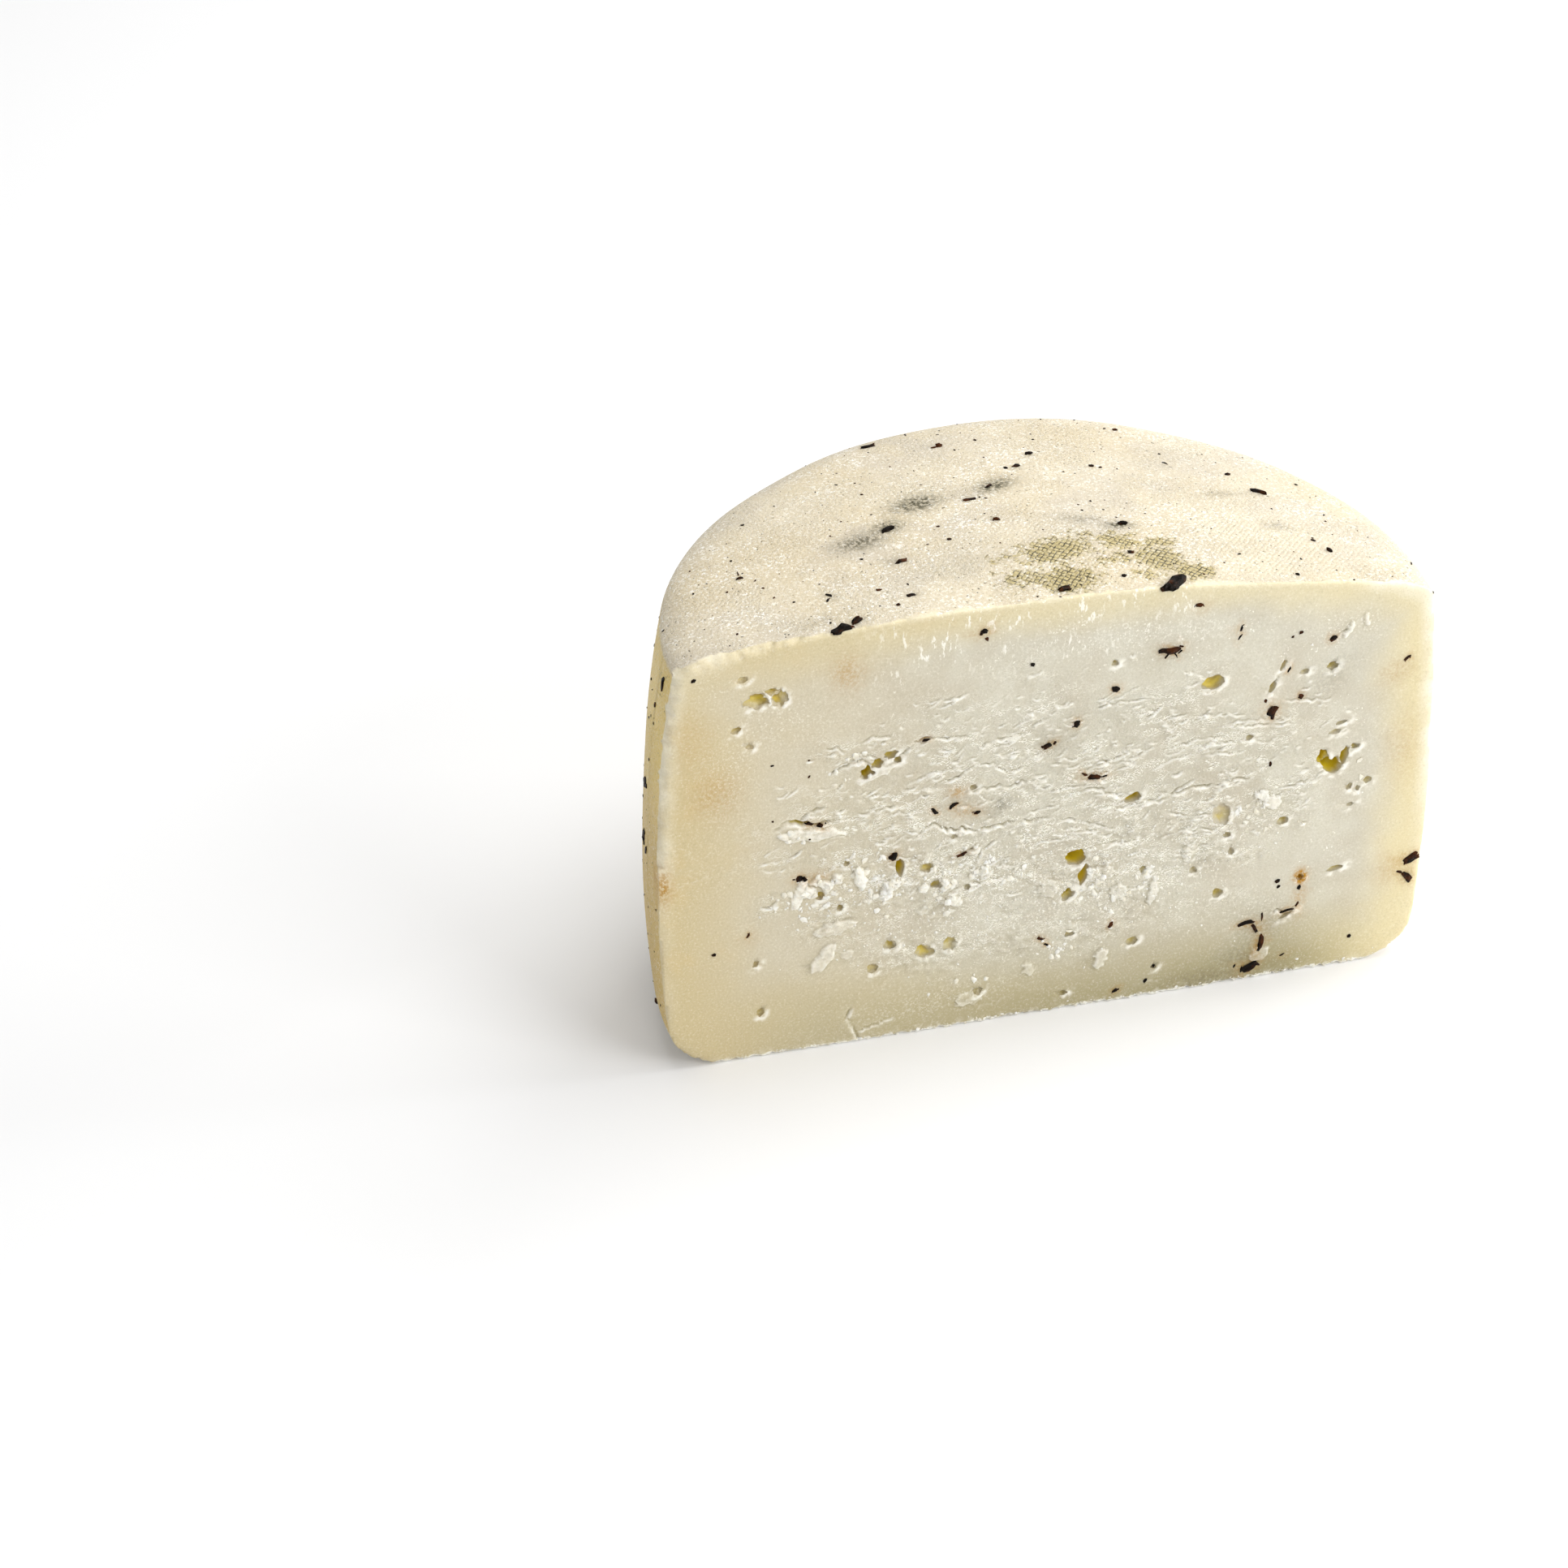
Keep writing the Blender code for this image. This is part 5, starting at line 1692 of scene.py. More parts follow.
@dataclass
class HalfWheel:
    """The half wheel: fine skin, cut with its relief and eyes, and the marks it carries."""

    shape: WheelShape
    cut: KnifeCut
    eye_detail: int = 3
    eye_rounds: int = 3
    eye_sunk: float = 0.15
    small_eye: float = 4.4
    small_eye_depth: float = 0.75
    side_seed: int = 41
    name: str = "half_wheel"

    def build(self, finish: bpy.types.Material) -> bpy.types.Object:
        """Cut the wheel, open the eyes, store the marks and dress it.

        Args:
            finish: the cheese's material.

        Returns:
            The piece.
        """
        source = [bpy.data.materials.new(label) for label in ("of_skin", "of_cut", "of_eye")]
        piece = linked(self.name, self.shape.mesh())
        piece.data.materials.append(source[0])
        block = linked("kept_side", self.cut.mesh())
        block.data.materials.append(source[1])
        block.modifiers.new("thin", "DECIMATE").ratio = self.cut.kept_share
        apply_modifiers(block)
        self.boolean(piece, "INTERSECT", [block])
        for group in range(self.eye_rounds):
            eyes = [self.eye(eye, i) for i, eye in enumerate(EYES) if i % self.eye_rounds == group]
            for eye in eyes:
                eye.data.materials.append(source[2])
            self.boolean(piece, "DIFFERENCE", eyes)
        self.store_marks(piece.data)
        piece.data.materials.clear()
        piece.data.materials.append(finish)
        first = np.zeros(len(piece.data.polygons), dtype=np.int32)
        piece.data.polygons.foreach_set("material_index", first)
        for material in source:
            bpy.data.materials.remove(material)
        piece.data.transform(Matrix.Translation((*self.shape.axis_at, 0.0)))
        piece.data.shade_smooth()
        return piece

    @staticmethod
    def boolean(piece: bpy.types.Object, operation: str, tools: list[bpy.types.Object]) -> None:
        """Boolean with each tool in turn, applied, with the tools removed.

        Args:
            piece: what is cut.
            operation: INTERSECT or DIFFERENCE.
            tools: what cuts it.
        """
        for tool in tools:
            modifier = piece.modifiers.new("cut", "BOOLEAN")
            modifier.operation, modifier.solver, modifier.object = operation, "MANIFOLD", tool
            modifier.material_mode = "TRANSFER"
        apply_modifiers(piece)
        for tool in tools:
            bpy.data.objects.remove(tool, do_unlink=True)

    def eye(self, eye: Eye, number: int) -> bpy.types.Object:
        """A lumpy ball that hollows one eye out of the paste.

        Args:
            eye: its place and sizes; a small eye is made flatter.
            number: its place in the list, which shifts its noise.

        Returns:
            The ball, in the wheel's own frame.
        """
        body = bmesh.new()
        bmesh.ops.create_icosphere(body, subdivisions=self.eye_detail, radius=1.0)
        shift = Vector((number * 3.1, number * 1.7, 0.0))
        for vert in body.verts:
            broad = noise.noise(vert.co * 1.3 + shift)
            sharp = noise.noise(vert.co * 3.6 + shift)
            vert.co *= 1 + eye.ragged * (broad + 0.45 * sharp)
        deep = eye.deep if eye.wide + eye.high > self.small_eye else self.small_eye_depth * eye.deep
        body.transform(Matrix.Diagonal((eye.wide / 2 * MM, deep * MM, eye.high / 2 * MM, 1.0)))
        body.transform(Matrix.Rotation(-math.radians(eye.turn), 4, "Y"))
        body.transform(Matrix.Translation(self.cut.place(eye.x, eye.z, eye.deep * self.eye_sunk)))
        mesh = bpy.data.meshes.new(f"eye_{number}")
        body.to_mesh(mesh)
        body.free()
        return linked(mesh.name, mesh)

    @staticmethod
    def rim_highlight_and_fringe_line(x: Grid, z: Grid, depth: Grid) -> Grid:
        """The pale lines where the knife came through the rind: a painted highlight along the top edge, and
        the frayed white fringe at the foot.

        Args:
            x, z: places on the cut in mm.
            depth: how far they are from its outline.

        Returns:
            The strength of the lines there.
        """
        along = soft_step(x, -44, -34) * soft_step(-x, -16, -8)
        broken = soft_step(Rough.TOP_LINE.over(x, z), -0.35, 0.15)
        # Painted highlight along the top edge.
        top = 0.15 * along * broken * (z > 60) * bell(depth, 0.35)
        frayed = soft_step(Rough.FOOT_LINE.over(x, z), -0.1, 0.35)
        return np.maximum(top, 0.95 * frayed * bell(z, 0.8))

    def store_marks(self, mesh: bpy.types.Mesh) -> None:
        """Store on the mesh's points where they lie and how they are stained.

        Args:
            mesh: the cut wheel, whose faces still carry the materials of what made them.
        """
        count = len(mesh.vertices)
        x, y, z = (read_from(mesh.vertices, "co", float, 3).reshape(-1, 3) / MM).T
        made_by = read_from(mesh.polygons, "material_index", np.int32)
        corners = read_from(mesh.loops, "vertex_index", np.int32)
        face_of_corner = np.repeat(made_by, read_from(mesh.polygons, "loop_total", np.int32))
        names = [material.name if material else "" for material in mesh.materials]

        def touched(kind: str) -> Grid:
            """Points that touch a face made by one source."""
            flags = np.zeros(count)
            numbers = [i for i, name in enumerate(names) if name.startswith(kind)]
            flags[corners[np.isin(face_of_corner, numbers)]] = 1.0
            return flags

        skin, front, eye = touched("of_skin"), touched("of_cut"), touched("of_eye")
        cut = self.cut
        base, detail, depth = (cut.read(layer, x, z) for layer in (cut.base, cut.detail, cut.depth))
        in_eye = eye * (1 - front) * soft_step((y - self.shape.cut_at / MM) + base, 0.1, 1.9)
        in_tear = front * soft_step(-detail, 0.45, 1.3)
        strewn = soft_step(Rough.FOOT_CRUMBS.over(x, z), -0.4, 0.3)
        layers = {
            "rind": skin * (1 - front),
            "skin_depth": np.where(skin > 0, 0.0, depth),
            # Where the paste gets the painted glow and shade of eyes and deep tears.
            "hollow": np.clip(in_eye + 0.8 * in_tear, 0, 1),
            # The top edge line is painted highlight; the foot line is frayed white curd.
            "rim": front * self.rim_highlight_and_fringe_line(x, z, depth),
            "foot_edge": front * bell(z, 0.7) * strewn,
            "around": np.arctan2(y, x) * self.shape.rim_radius / MM,
            "along": z,
        }
        for name in ("lip", "pale", "shade", "torn", "crumbly"):
            layers[name] = front * cut.read(getattr(cut, name), x, z)
        level = z - self.shape.rim_height / MM
        on_top, on_side = skin * soft_step(level, -4.0, -2.0), skin * soft_step(-level, 4.0, 9.0)
        on_cut = (y < -5) * 1.0
        stains = (
            (TOP_MARKS, x, y, on_top),
            ({Tint.GREY: halos(TOP_FLAKES, 0.35)}, x, y, on_top),
            (CUT_MARKS, x, z, on_cut),
            ({Tint.RUST: halos(CUT_FLAKES, 0.4)}, x, z, on_cut),
            (side_marks(self.side_seed), layers["around"], z, on_side),
        )
        for tint in Tint:
            layers[tint.value] = np.zeros(count)
            for table, across, up, where in stains:
                strength = mark_strength(table.get(tint, ()), across, up) * where
                layers[tint.value] = np.maximum(layers[tint.value], strength)
        layers[Tint.CURD.value] *= front
        for name, values in layers.items():
            layer = mesh.attributes.new(name, "FLOAT", "POINT")
            layer.data.foreach_set("value", values.astype(np.float32))


# Truffle


class Shaving(Enum):
    """Forms that the truffle shavings take."""

    CHIP = "chip"
    STICK = "stick"
    CRUMB = "crumb"


@dataclass(frozen=True)
class Flake:
    """A truffle shaving: place, length, width and turn in mm and degrees."""

    across: float
    up: float
    long: float
    wide: float
    turn: float

    @property
    def form(self) -> Shaving:
        """Slim shavings are sticks, tiny ones crumbs and the rest chips."""
        if self.wide < 0.37 * self.long:
            return Shaving.STICK
        return Shaving.CRUMB if self.long < 1.0 else Shaving.CHIP


CUT_FLAKES = tuple(Flake(*row) for row in (
    (-61.1, 74.3, 0.9, 0.7, 10), (-42.3, 44.3, 1.4, 0.7, 0), (-40.6, 43.9, 1.5, 0.8, -15),
    (-44.2, 34.3, 1.5, 1.1, 30), (-43.2, 34, 1.1, 0.8, 80), (-28.4, 35.9, 1.6, 1.1, 50),
    (-17, 34.4, 2, 0.6, 15), (-21.6, 43.4, 1.4, 0.8, -40), (-18.4, 43.9, 1.8, 0.6, 30),
    (-14.6, 41.9, 1.3, 0.9, 0), (-23.4, 57.4, 1.4, 0.5, 5), (-2.9, 52.5, 1.6, 1, 20),
    (-1.6, 52.9, 1, 0.5, 60), (5.1, 45.5, 2, 0.9, -8), (6.6, 45.3, 1.4, 0.5, -5),
    (3.6, 46.2, 1.4, 0.5, -35), (1.8, 56.1, 1.3, 1.1, 60), (8.2, 61.5, 1.4, 1.2, 0),
    (-5.9, 68.5, 0.9, 0.7, 0), (-14.2, 76, 1.3, 1, 30), (-13.7, 74.5, 0.8, 0.7, 0),
    (21.5, 75.2, 1.5, 0.8, 0), (17.4, 67.4, 3, 1.15, 2), (15.7, 67.6, 1.2, 1, 20),
    (16.6, 66.6, 1.4, 0.4, 55), (18, 66.4, 1.4, 0.4, -60), (19, 67.9, 1, 0.4, -20),
    (29, 69.6, 1.2, 0.5, 80), (28.9, 67.9, 1.4, 0.4, 60), (37.6, 60.6, 1.4, 0.5, 62),
    (35.2, 53, 2.1, 1.8, 70), (35.3, 51.9, 1, 0.7, 80), (33.9, 55.2, 0.9, 0.6, 80),
    (40, 55.1, 1.1, 0.8, 70), (44.9, 65.2, 1.4, 0.9, 40), (39.4, 67.2, 0.8, 0.6, 0),
    (38, 66.6, 0.7, 0.5, 0), (58.2, 59.4, 1.4, 0.6, 40), (35.5, 42.8, 0.6, 1.4, 0),
    (-58.3, 21.9, 0.9, 0.7, 20), (-52.6, 24.6, 1.1, 0.5, 60), (-48.5, 56.5, 0.7, 0.4, 10),
    (-42.5, 56.5, 0.6, 0.4, 60), (-42.5, 53.5, 0.6, 0.4, 50), (-2.9, 15.1, 1.4, 0.6, -20),
    (-1.9, 13.8, 1.1, 0.4, -30), (9, 15.9, 1.3, 0.7, 60), (10.4, 2.2, 1.2, 0.6, 30),
    (15.7, 3.3, 0.9, 0.6, 40), (17, 6, 0.8, 0.4, 80), (33, 11.5, 3.2, 0.8, 10),
    (34.6, 10.3, 2, 0.7, -60), (35.8, 12.4, 1.8, 0.4, 88), (40.2, 12.7, 2.4, 0.5, 12),
    (42, 13.9, 1.3, 0.4, 70), (35.5, 7, 4.4, 1, 74), (34.2, 2.6, 3.4, 1.5, 30),
    (31.5, 3.2, 0.9, 0.4, 60), (40, 3.9, 1, 0.4, 30), (38.3, 19.1, 0.9, 0.7, 30),
    (38.5, 17.9, 0.8, 0.7, 30), (42.2, 17.2, 0.9, 0.7, 70), (51.9, 5.6, 0.8, 0.7, 0),
    (62, 19.6, 2.8, 1.6, 25), (61.4, 16, 2.4, 1.2, -55), (60, 17, 1.4, 0.5, -30),
    (-48.5, 46, 0.5, 0.4, 0), (-42.5, 42, 0.5, 0.4, 60),
))

TOP_FLAKES = tuple(Flake(*row) for row in (
    (17.6, -6.7, 5.0, 2.3, 42), (15.7, -7.8, 2.2, 1.2, 36), (-35.9, -6.9, 3.8, 1.6, 16),
    (-33.2, -5.5, 1.9, 1.2, 24), (-36.2, 2, 1.2, 0.5, 60), (-35.8, 3.2, 1.4, 0.5, -50),
    (-23.5, -1.2, 1.4, 0.7, 10), (-48.2, 14.4, 1.2, 0.6, 0), (-48.2, 16, 1.5, 0.3, 85),
    (-22.8, 21.5, 2.4, 1, 20), (-6.1, 27.7, 2.3, 0.6, 5), (15.2, 12.9, 1.6, 0.9, -10),
    (-23, 9.8, 2, 0.8, 12), (-4.2, 50.2, 1.2, 1.2, 20), (-5.4, 49.9, 1.1, 0.4, 10),
    (-15.8, 55.4, 2.6, 0.6, 10), (8.8, 41.4, 1.4, 0.9, 0), (5.3, 37, 1.2, 0.9, 30),
    (3.4, 36.8, 0.8, 0.6, 0), (-4.1, 19, 1.1, 0.8, 0), (42.2, 22.5, 2.6, 0.8, -35),
    (47.4, 2.2, 0.7, 1.2, 20), (13.6, 3.4, 1.2, 0.8, 0), (10, -3.6, 0.9, 0.7, 0),
    (-0.4, -5.8, 2.2, 1, 10), (39, -5.5, 0.8, 0.6, 0), (45.8, 5.6, 1, 0.5, -30),
    (-1.5, 31.2, 1.6, 0.5, 30), (39.2, 29.6, 0.9, 0.7, 0), (30, 34.6, 1.4, 0.3, -60),
    (17.3, 34.5, 0.9, 0.8, 0), (18.6, 33.8, 0.8, 0.5, 0), (26.5, 49.5, 1, 0.6, 0),
    (-14, 15, 0.8, 0.6, 0), (-28, 2, 0.9, 0.5, 0), (-26, -3.2, 0.8, 0.6, 0),
))


def halos(flakes: Iterable[Flake], strength: float) -> list[Mark]:
    """The stain that each larger shaving leaves about itself.

    Args:
        flakes: the shavings.
        strength: how strong each stain is.

    Returns:
        One mark for each shaving of a millimetre or more.
    """
    return [
        Mark(flake.across, flake.up, 1.35 * flake.long + 0.5, 1.35 * flake.wide + 0.5, flake.turn, strength)
        for flake in flakes
        if flake.long >= 1.0
    ]


@dataclass
class Truffle:
    """All the truffle shavings that stand in or on the cheese."""

    shape: WheelShape
    cut: KnifeCut
    side_count: int = 90
    side_heights: tuple[float, float] = (6, 72)
    side_angles: tuple[float, float] = (math.radians(-5), math.radians(185))
    side_lengths: tuple[float, ...] = (0.7, 0.9, 1.2, 1.6, 2.2, 3.0)
    sunk: float = 0.06
    thick_on_cut: float = 0.5
    thick_on_top: float = 0.7
    thick_on_side: float = 0.3
    seed: int = 4

    def build(self, finish: bpy.types.Material) -> list[bpy.types.Object]:
        """Make one piece of the shavings on the cut and one of those on the rind.

        Args:
            finish: the truffle's material.

        Returns:
            The two pieces.
        """
        rng = random.Random(self.seed)
        on_cut, on_rind = bmesh.new(), bmesh.new()
        for flake in CUT_FLAKES:
            place = self.cut.place(flake.across, flake.up, self.sunk)
            self.add(on_cut, rng, flake, place, Vector((0, -1, 0)), self.thick_on_cut)
        for flake in TOP_FLAKES:
            radius, angle = math.hypot(flake.across, flake.up) * MM, math.atan2(flake.up, flake.across)
            place = self.shape.skin_point(radius, self.shape.rim_height, angle)
            slope = 2 * self.shape.dome_rise * radius / self.shape.rim_radius**2
            normal = Vector((slope * math.cos(angle), slope * math.sin(angle), 1.0)).normalized()
            self.add(on_rind, rng, flake, place, normal, self.thick_on_top)
        for _ in range(self.side_count):
            self.add_on_side(on_rind, rng)
        pieces = {"truffle_on_cut": on_cut, "truffle_on_rind": on_rind}
        return [self.finished(name, body, finish) for name, body in pieces.items()]

    def finished(self, name: str, body: bmesh.types.BMesh, finish: bpy.types.Material) -> bpy.types.Object:
        """Turn the gathered shavings into a piece.

        Args:
            name: the piece's name.
            body: the shavings, in the wheel's own frame.
            finish: the material.

        Returns:
            The piece.
        """
        body.transform(Matrix.Translation((*self.shape.axis_at, 0.0)))
        bmesh.ops.recalc_face_normals(body, faces=body.faces)
        mesh = bpy.data.meshes.new(name)
        body.to_mesh(mesh)
        body.free()
        mesh.materials.append(finish)
        return linked(name, mesh)

    @staticmethod
    def add(body: bmesh.types.BMesh, rng: random.Random, flake: Flake, place: Vector, normal: Vector,
            thick: float) -> None:
        """Add one shaving with the small shards about it: angular, flattened chips and bent sticks.

        Args:
            body: takes the shaving.
            rng: draws its shape.
            flake: its sizes, turn and form.
            place, normal: where it lies, and the way out of the cheese there.
            thick: half its greatest thickness in mm.
        """
        lead = Vector((1, 0, 0)) if abs(normal.x) < 0.9 else Vector((0, 1, 0))
        across = (lead - normal * lead.dot(normal)).normalized()
        lie = Matrix((across, normal.cross(across), normal)).transposed().to_4x4()
        move = Matrix.Translation(place) @ lie @ Matrix.Rotation(math.radians(flake.turn), 4, "Z")
        parts = [(0.0, 0.0, flake.long, flake.wide, 0.0)]
        if flake.form is Shaving.CHIP and flake.long > 1.0:
            for end in (-1, 1):
                shift = end * flake.long * rng.uniform(0.3, 0.5), rng.uniform(-0.4, 0.4) * flake.wide
                part = flake.long * rng.uniform(0.3, 0.5), flake.wide * rng.uniform(0.25, 0.5)
                parts.append((*shift, *part, rng.uniform(-70, 70)))
        for along, over, long, wide, turn in parts:
            made = bmesh.ops.create_icosphere(body, subdivisions=1 if long < 1.6 else 2, radius=1.0)["verts"]
            bend = rng.uniform(-0.5, 0.5) if flake.form is Shaving.STICK else 0.0
            tall = min(thick, 0.55 * wide)
            spin = Matrix.Rotation(math.radians(turn), 4, "Z")
            shift = Vector((rng.uniform(-50, 50), rng.uniform(-50, 50), rng.uniform(-50, 50)))
            for vert in made:
                blocky = sum(abs(part) ** 5 for part in vert.co) ** 0.2
                uneven = 1 + 0.5 * noise.noise(vert.co * 1.9 + shift) + rng.uniform(-0.16, 0.16)
                point = vert.co * (0.9 * uneven / blocky)
                u, v = point.x * long / 2, point.y * wide / 2
                v += bend * wide * (1 - (2 * u / long) ** 2)
                vert.co = move @ ((spin @ Vector((u, v, point.z * tall)) + Vector((along, over, 0))) * MM)

    def add_on_side(self, body: bmesh.types.BMesh, rng: random.Random) -> None:
        """Add one shaving at a random place of the side, clear of the cut.

        Args:
            body: takes the shaving.
            rng: draws its place, sizes and turn.
        """
        height = rng.uniform(*self.side_heights) * MM
        angle = rng.uniform(*self.side_angles)
        radius = self.shape.rim_radius
        place = self.shape.skin_point(radius, height, angle)
        over = self.shape.skin_point(radius, height + MM, angle)
        beside = self.shape.skin_point(radius, height, angle + 0.02)
        normal = (beside - place).cross(over - place).normalized()
        long = rng.choice(self.side_lengths) * rng.uniform(0.8, 1.2)
        wide = long * rng.choice((rng.uniform(0.25, 0.4), rng.uniform(0.5, 0.85)))
        flake = Flake(0, 0, long, wide, rng.uniform(0, 180))
        self.add(body, rng, flake, place, normal, self.thick_on_side)


# Scatter by Geometry Nodes


@dataclass(frozen=True)
class Scatter:
    """Small grains spread over a surface, where a stored number says, by Geometry Nodes."""

    name: str
    weight: str
    per_square_metre: float
    smallest: float
    largest: float
    flatness: float
    seed: int
    rough: float = 0.45
    skew: float = 2.0
    points_in_grain: int = 12
    off_ground: float = 0.02 * MM

    def tree(self) -> bpy.types.NodeTree:
        """The tree: points on the surface, a grain on each, realized, with its material.

        Returns:
            The tree, whose inputs the modifier sets.
        """
        tree = bpy.data.node_groups.new(self.name, "GeometryNodeTree")
        kinds = {"Geometry": "Geometry", "Density": "Float", "Smallest": "Float", "Largest": "Float",
                 "Flatness": "Float", "Seed": "Int", "Material": "Material"}
        for label, kind in kinds.items():
            tree.interface.new_socket(label, in_out="INPUT", socket_type="NodeSocket" + kind)
        tree.interface.new_socket("Geometry", in_out="OUTPUT", socket_type="NodeSocketGeometry")
        sheet = NodeSheet(tree)
        takes, gives = sheet.add("NodeGroupInput").outputs, sheet.add("NodeGroupOutput")
        weight = sheet.add("GeometryNodeInputNamedAttribute", {"Name": self.weight}, data_type="FLOAT")
        where = {"Mesh": takes["Geometry"], "Density": sheet.times(weight.outputs[0], takes["Density"]),
                 "Seed": takes["Seed"]}
        spread = sheet.add("GeometryNodeDistributePointsOnFaces", where, distribute_method="RANDOM").outputs
        grain = sheet.add("GeometryNodeMeshIcoSphere", {"Radius": 0.5, "Subdivisions": 1})
        share = sheet.math("POWER", self.random(sheet, 0.0, 1.0, takes["Seed"], 1), self.skew)
        span = sheet.math("SUBTRACT", takes["Largest"], takes["Smallest"])
        size = sheet.plus(takes["Smallest"], sheet.times(share, span))
        stretch = self.random(sheet, 0.55, 1.0, takes["Seed"], 2)
        scale = sheet.joined(X=size, Y=sheet.times(size, stretch), Z=sheet.times(size, takes["Flatness"]))
        spin = sheet.joined(Z=self.random(sheet, 0.0, 2 * math.pi, takes["Seed"], 3))
        turns = {0: spread["Rotation"], 1: spin}
        lie = sheet.add("FunctionNodeRotateRotation", turns, rotation_space="LOCAL").outputs[0]
        grains = {"Points": spread["Points"], "Instance": grain.outputs["Mesh"], "Rotation": lie,
                  "Scale": scale}
        placed = sheet.add("GeometryNodeInstanceOnPoints", grains)
        real = sheet.add("GeometryNodeRealizeInstances", {"Geometry": placed.outputs[0]})
        dressing = {"Geometry": real.outputs[0], "Material": takes["Material"]}
        dressed = sheet.add("GeometryNodeSetMaterial", dressing)
        sheet.feed(gives.inputs["Geometry"], dressed.outputs[0])
        return tree

    @staticmethod
    def random(sheet: NodeSheet, low: float, high: float, seed: Socket, offset: int) -> Socket:
        """A random number for each point.

        Args:
            sheet: the tree's sheet.
            low, high: the range of the number.
            seed, offset: the tree's seed, and what makes this number differ from others.

        Returns:
            The number.
        """
        inputs = {2: low, 3: high, "Seed": sheet.plus(seed, float(offset))}
        return sheet.add("FunctionNodeRandomValue", inputs, data_type="FLOAT").outputs[1]

    def build(self, host: bpy.types.Object, finish: bpy.types.Material) -> bpy.types.Object:
        """Spread the grains over the host and keep them as a plain mesh.

        Args:
            host: the piece that they lie on.
            finish: their material.

        Returns:
            The piece of all the grains.
        """
        carrier = linked("carrier", host.data.copy())
        modifier = carrier.modifiers.new("spread", "NODES")
        modifier.node_group = self.tree()
        settings = {
            "Density": self.per_square_metre, "Smallest": self.smallest * MM, "Largest": self.largest * MM,
            "Flatness": self.flatness, "Seed": self.seed, "Material": finish,
        }
        for item in modifier.node_group.interface.items_tree:
            if item.in_out == "INPUT" and item.name in settings:
                modifier[item.identifier] = settings[item.name]
        graph = bpy.context.evaluated_depsgraph_get()
        mesh = bpy.data.meshes.new_from_object(carrier.evaluated_get(graph))
        bpy.data.objects.remove(carrier, do_unlink=True)
        mesh.name = self.name
        self.roughen(mesh)
        return linked(self.name, mesh)

    def roughen(self, mesh: bpy.types.Mesh) -> None:
        """Make every grain angular in its own way, and keep all of them off the ground.

        Args:
            mesh: all the grains, each with the same number of points.
        """
        grains = read_from(mesh.vertices, "co", float, 3).reshape(-1, self.points_in_grain, 3)
        rng = np.random.default_rng(self.seed)
        middle = grains.mean(1, keepdims=True)
        stray = rng.uniform(1 - self.rough, 1 + self.rough, grains.shape[:2])[..., None]
        places = (middle + (grains - middle) * stray).reshape(-1, 3)
        places[:, 2] = np.maximum(places[:, 2], self.off_ground)
        mesh.vertices.foreach_set("co", places.ravel())
        mesh.update()


# Studio


@dataclass(frozen=True)
class Lamp:
    """A soft square lamp: where it stands, its side in metres, power in watts and colour."""

    name: str
    place: tuple[float, float, float]
    side: float
    power: float
    colour: Colour = (1.0, 1.0, 1.0)

    def build(self, aim: Vector) -> bpy.types.Object:
        """Make the lamp and turn it to the cheese.

        Args:
            aim: the point it shines at.

        Returns:
            The lamp.
        """
        light = bpy.data.lights.new(self.name, "AREA")
        light.size, light.energy, light.color = self.side, self.power, self.colour
        lamp = bpy.data.objects.new(self.name, light)
        bpy.context.scene.collection.objects.link(lamp)
        lamp.location = self.place
        lamp.rotation_euler = (aim - Vector(self.place)).to_track_quat("-Z", "Y").to_euler()
        return lamp


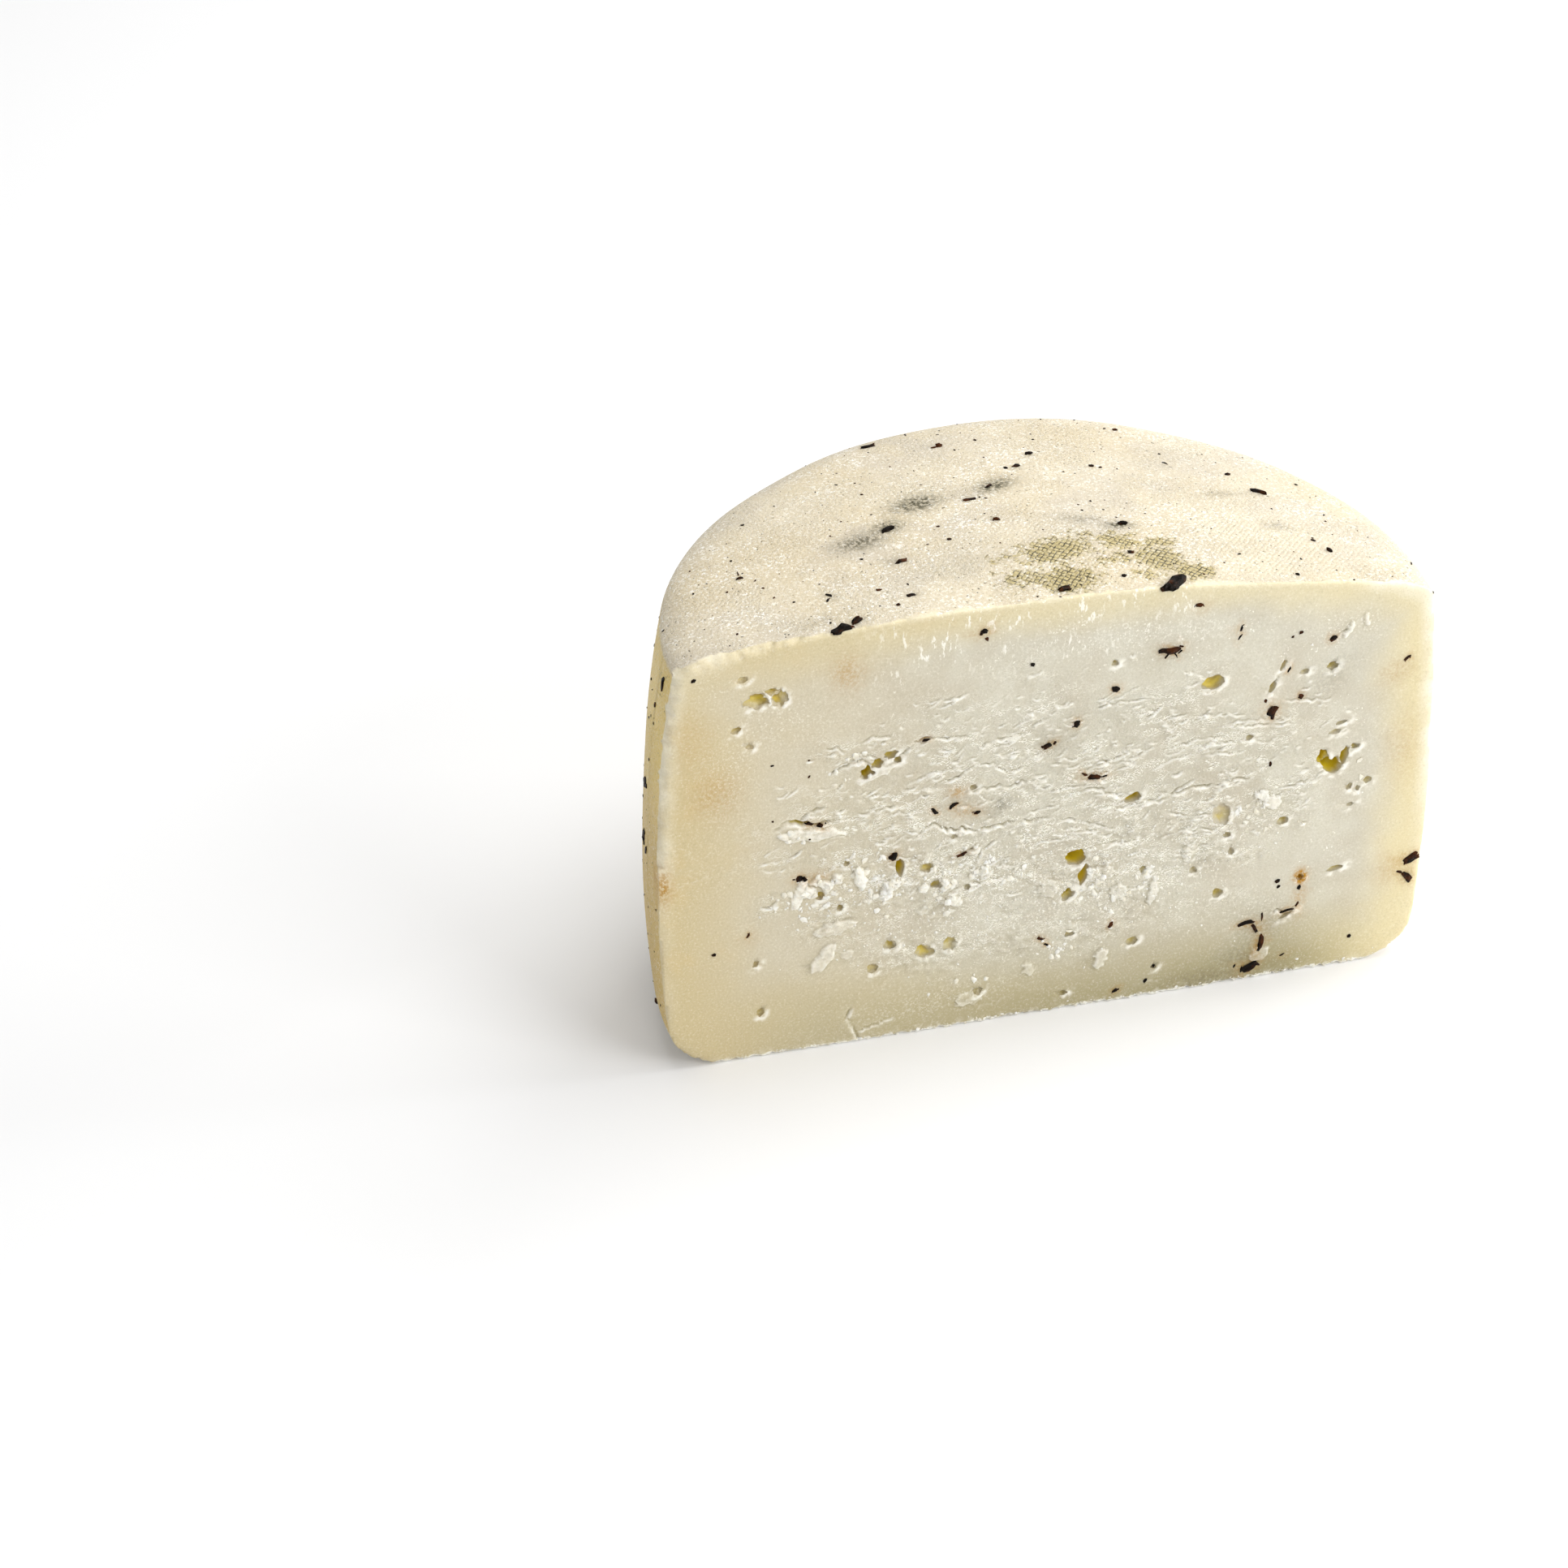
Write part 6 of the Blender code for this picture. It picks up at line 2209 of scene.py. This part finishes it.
@dataclass(frozen=True)
class Studio:
    """White floor, soft lamps and the camera."""

    shape: WheelShape
    azimuth: float = -15.08
    elevation: float = 33.0
    roll: float = 0.08
    range: float = 714.7 * MM
    aim: tuple[float, float, float] = (-44.5 * MM, 0.0, 47.5 * MM)
    focal_in_widths: float = 5500 / 1932
    sensor: float = 36.0
    floor_side: float = 6.0
    floor_colour: Colour = (0.78, 0.78, 0.78)
    floor_glow: float = 0.075
    sky: Colour = (1.0, 1.0, 1.0)
    sky_power: float = 0.35
    lit: tuple[float, float, float] = (0.0, 0.0, 0.04)
    lamps: tuple[Lamp, ...] = (
        Lamp("overhead", (0.16, 0.02, 1.20), 0.9, 8.1),
        Lamp("key", (0.62, 0.50, 0.72), 0.5, 3.2),
        Lamp("right_rim", (0.80, 0.05, 0.30), 0.45, 4.4),
        Lamp("right_front", (0.62, -0.80, 0.62), 0.6, 5.6),
        Lamp("left_front", (-0.35, -1.10, 0.80), 0.9, 2.0),
    )

    def build(self) -> None:
        """Make the floor, the sky, the lamps and the camera."""
        self.build_floor()
        world = bpy.data.worlds.new("studio")
        bpy.context.scene.world = world
        world.use_nodes = True
        background = world.node_tree.nodes["Background"]
        background.inputs["Color"].default_value = (*self.sky, 1.0)
        background.inputs["Strength"].default_value = self.sky_power
        for lamp in self.lamps:
            lamp.build(Vector(self.lit))
        self.build_camera()
        view = bpy.context.scene.view_settings
        view.view_transform, view.look = "Standard", "None"

    def build_floor(self) -> None:
        """A wide white floor that glows a little, as an overexposed backdrop does."""
        half = self.floor_side / 2
        corners = [(-half, -half, 0), (half, -half, 0), (half, half, 0), (-half, half, 0)]
        floor = linked("floor", mesh_from("floor", corners, [(0, 1, 2, 3)]))
        material, _, shader = new_material("white_floor")
        shader.inputs["Base Color"].default_value = (*self.floor_colour, 1.0)
        shader.inputs["Roughness"].default_value = 0.9
        shader.inputs["Emission Color"].default_value = (1.0, 1.0, 1.0, 1.0)
        shader.inputs["Emission Strength"].default_value = self.floor_glow
        floor.data.materials.append(material)

    def build_camera(self) -> None:
        """The camera of the photograph: a long lens, well above and a little to the left."""
        turn, rise = math.radians(self.azimuth), math.radians(self.elevation)
        back = Vector((math.sin(turn) * math.cos(rise), -math.cos(turn) * math.cos(rise), math.sin(rise)))
        aim = Vector(self.aim) + Vector((*self.shape.axis_at, 0.0))
        data = bpy.data.cameras.new("camera")
        data.sensor_width = self.sensor
        data.lens = self.sensor * self.focal_in_widths
        camera = bpy.data.objects.new("camera", data)
        bpy.context.scene.collection.objects.link(camera)
        camera.location = aim + back * self.range
        look = (-back).to_track_quat("-Z", "Y").to_matrix()
        spin = Matrix.Rotation(-math.radians(self.roll), 3, "Z")
        camera.rotation_euler = (look @ spin).to_euler()
        bpy.context.scene.camera = camera


def join_frame(piece: bpy.types.Object, slot: str) -> None:
    """Tie a finished piece to the frame: hold it in the frame's box, put it under its body, hide the solid it
    stands for and log its slot.

    Args:
        piece: the finished piece.
        slot: the record's material slot.
    """
    hold_in_frame(piece.data)
    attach(piece, ROOT)
    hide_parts(NODE)
    triangles = sum(face.loop_total - 2 for face in piece.data.polygons)
    log.info("%s: %d triangles, slot %s", piece.name, triangles, slot)


def main() -> None:
    """Build the cheese, its crumbs and truffle, and the studio."""
    logging.basicConfig(level=logging.INFO, format="%(name)s: %(message)s", stream=sys.stdout)
    shape = WheelShape()
    cut = KnifeCut(shape)
    log.info("relief laid on a grid of %d by %d", *cut.x.shape)
    grain = curd_grain_group()
    cheese_look = CheeseFinish(grain, net_imprint_group(), dry_scales_group()).build()
    curd_look = CurdFinish(grain).build()
    truffle_look = TruffleFinish().build()
    cheese = HalfWheel(shape, cut).build(cheese_look)
    join_frame(cheese, "cheese")
    for piece in Truffle(shape, cut).build(truffle_look):
        join_frame(piece, "truffle")
    for scatter in (
        Scatter("curd_crumbs", "crumbly", 500000.0, 0.12, 0.6, 0.7, 21),
        Scatter("curd_granules", "curd_spots", 1900000.0, 0.24, 1.5, 0.45, 22),
        Scatter("foot_crumbs", "foot_edge", 4200000.0, 0.12, 0.85, 0.55, 23),
    ):
        join_frame(scatter.build(cheese, curd_look), "curd")
    specks = Scatter("truffle_specks", "rind", 60000.0, 0.08, 0.66, 0.5, 33, skew=3.0)
    join_frame(specks.build(cheese, truffle_look), "truffle")
    Studio(shape).build()


if __name__ == "__main__":
    main()
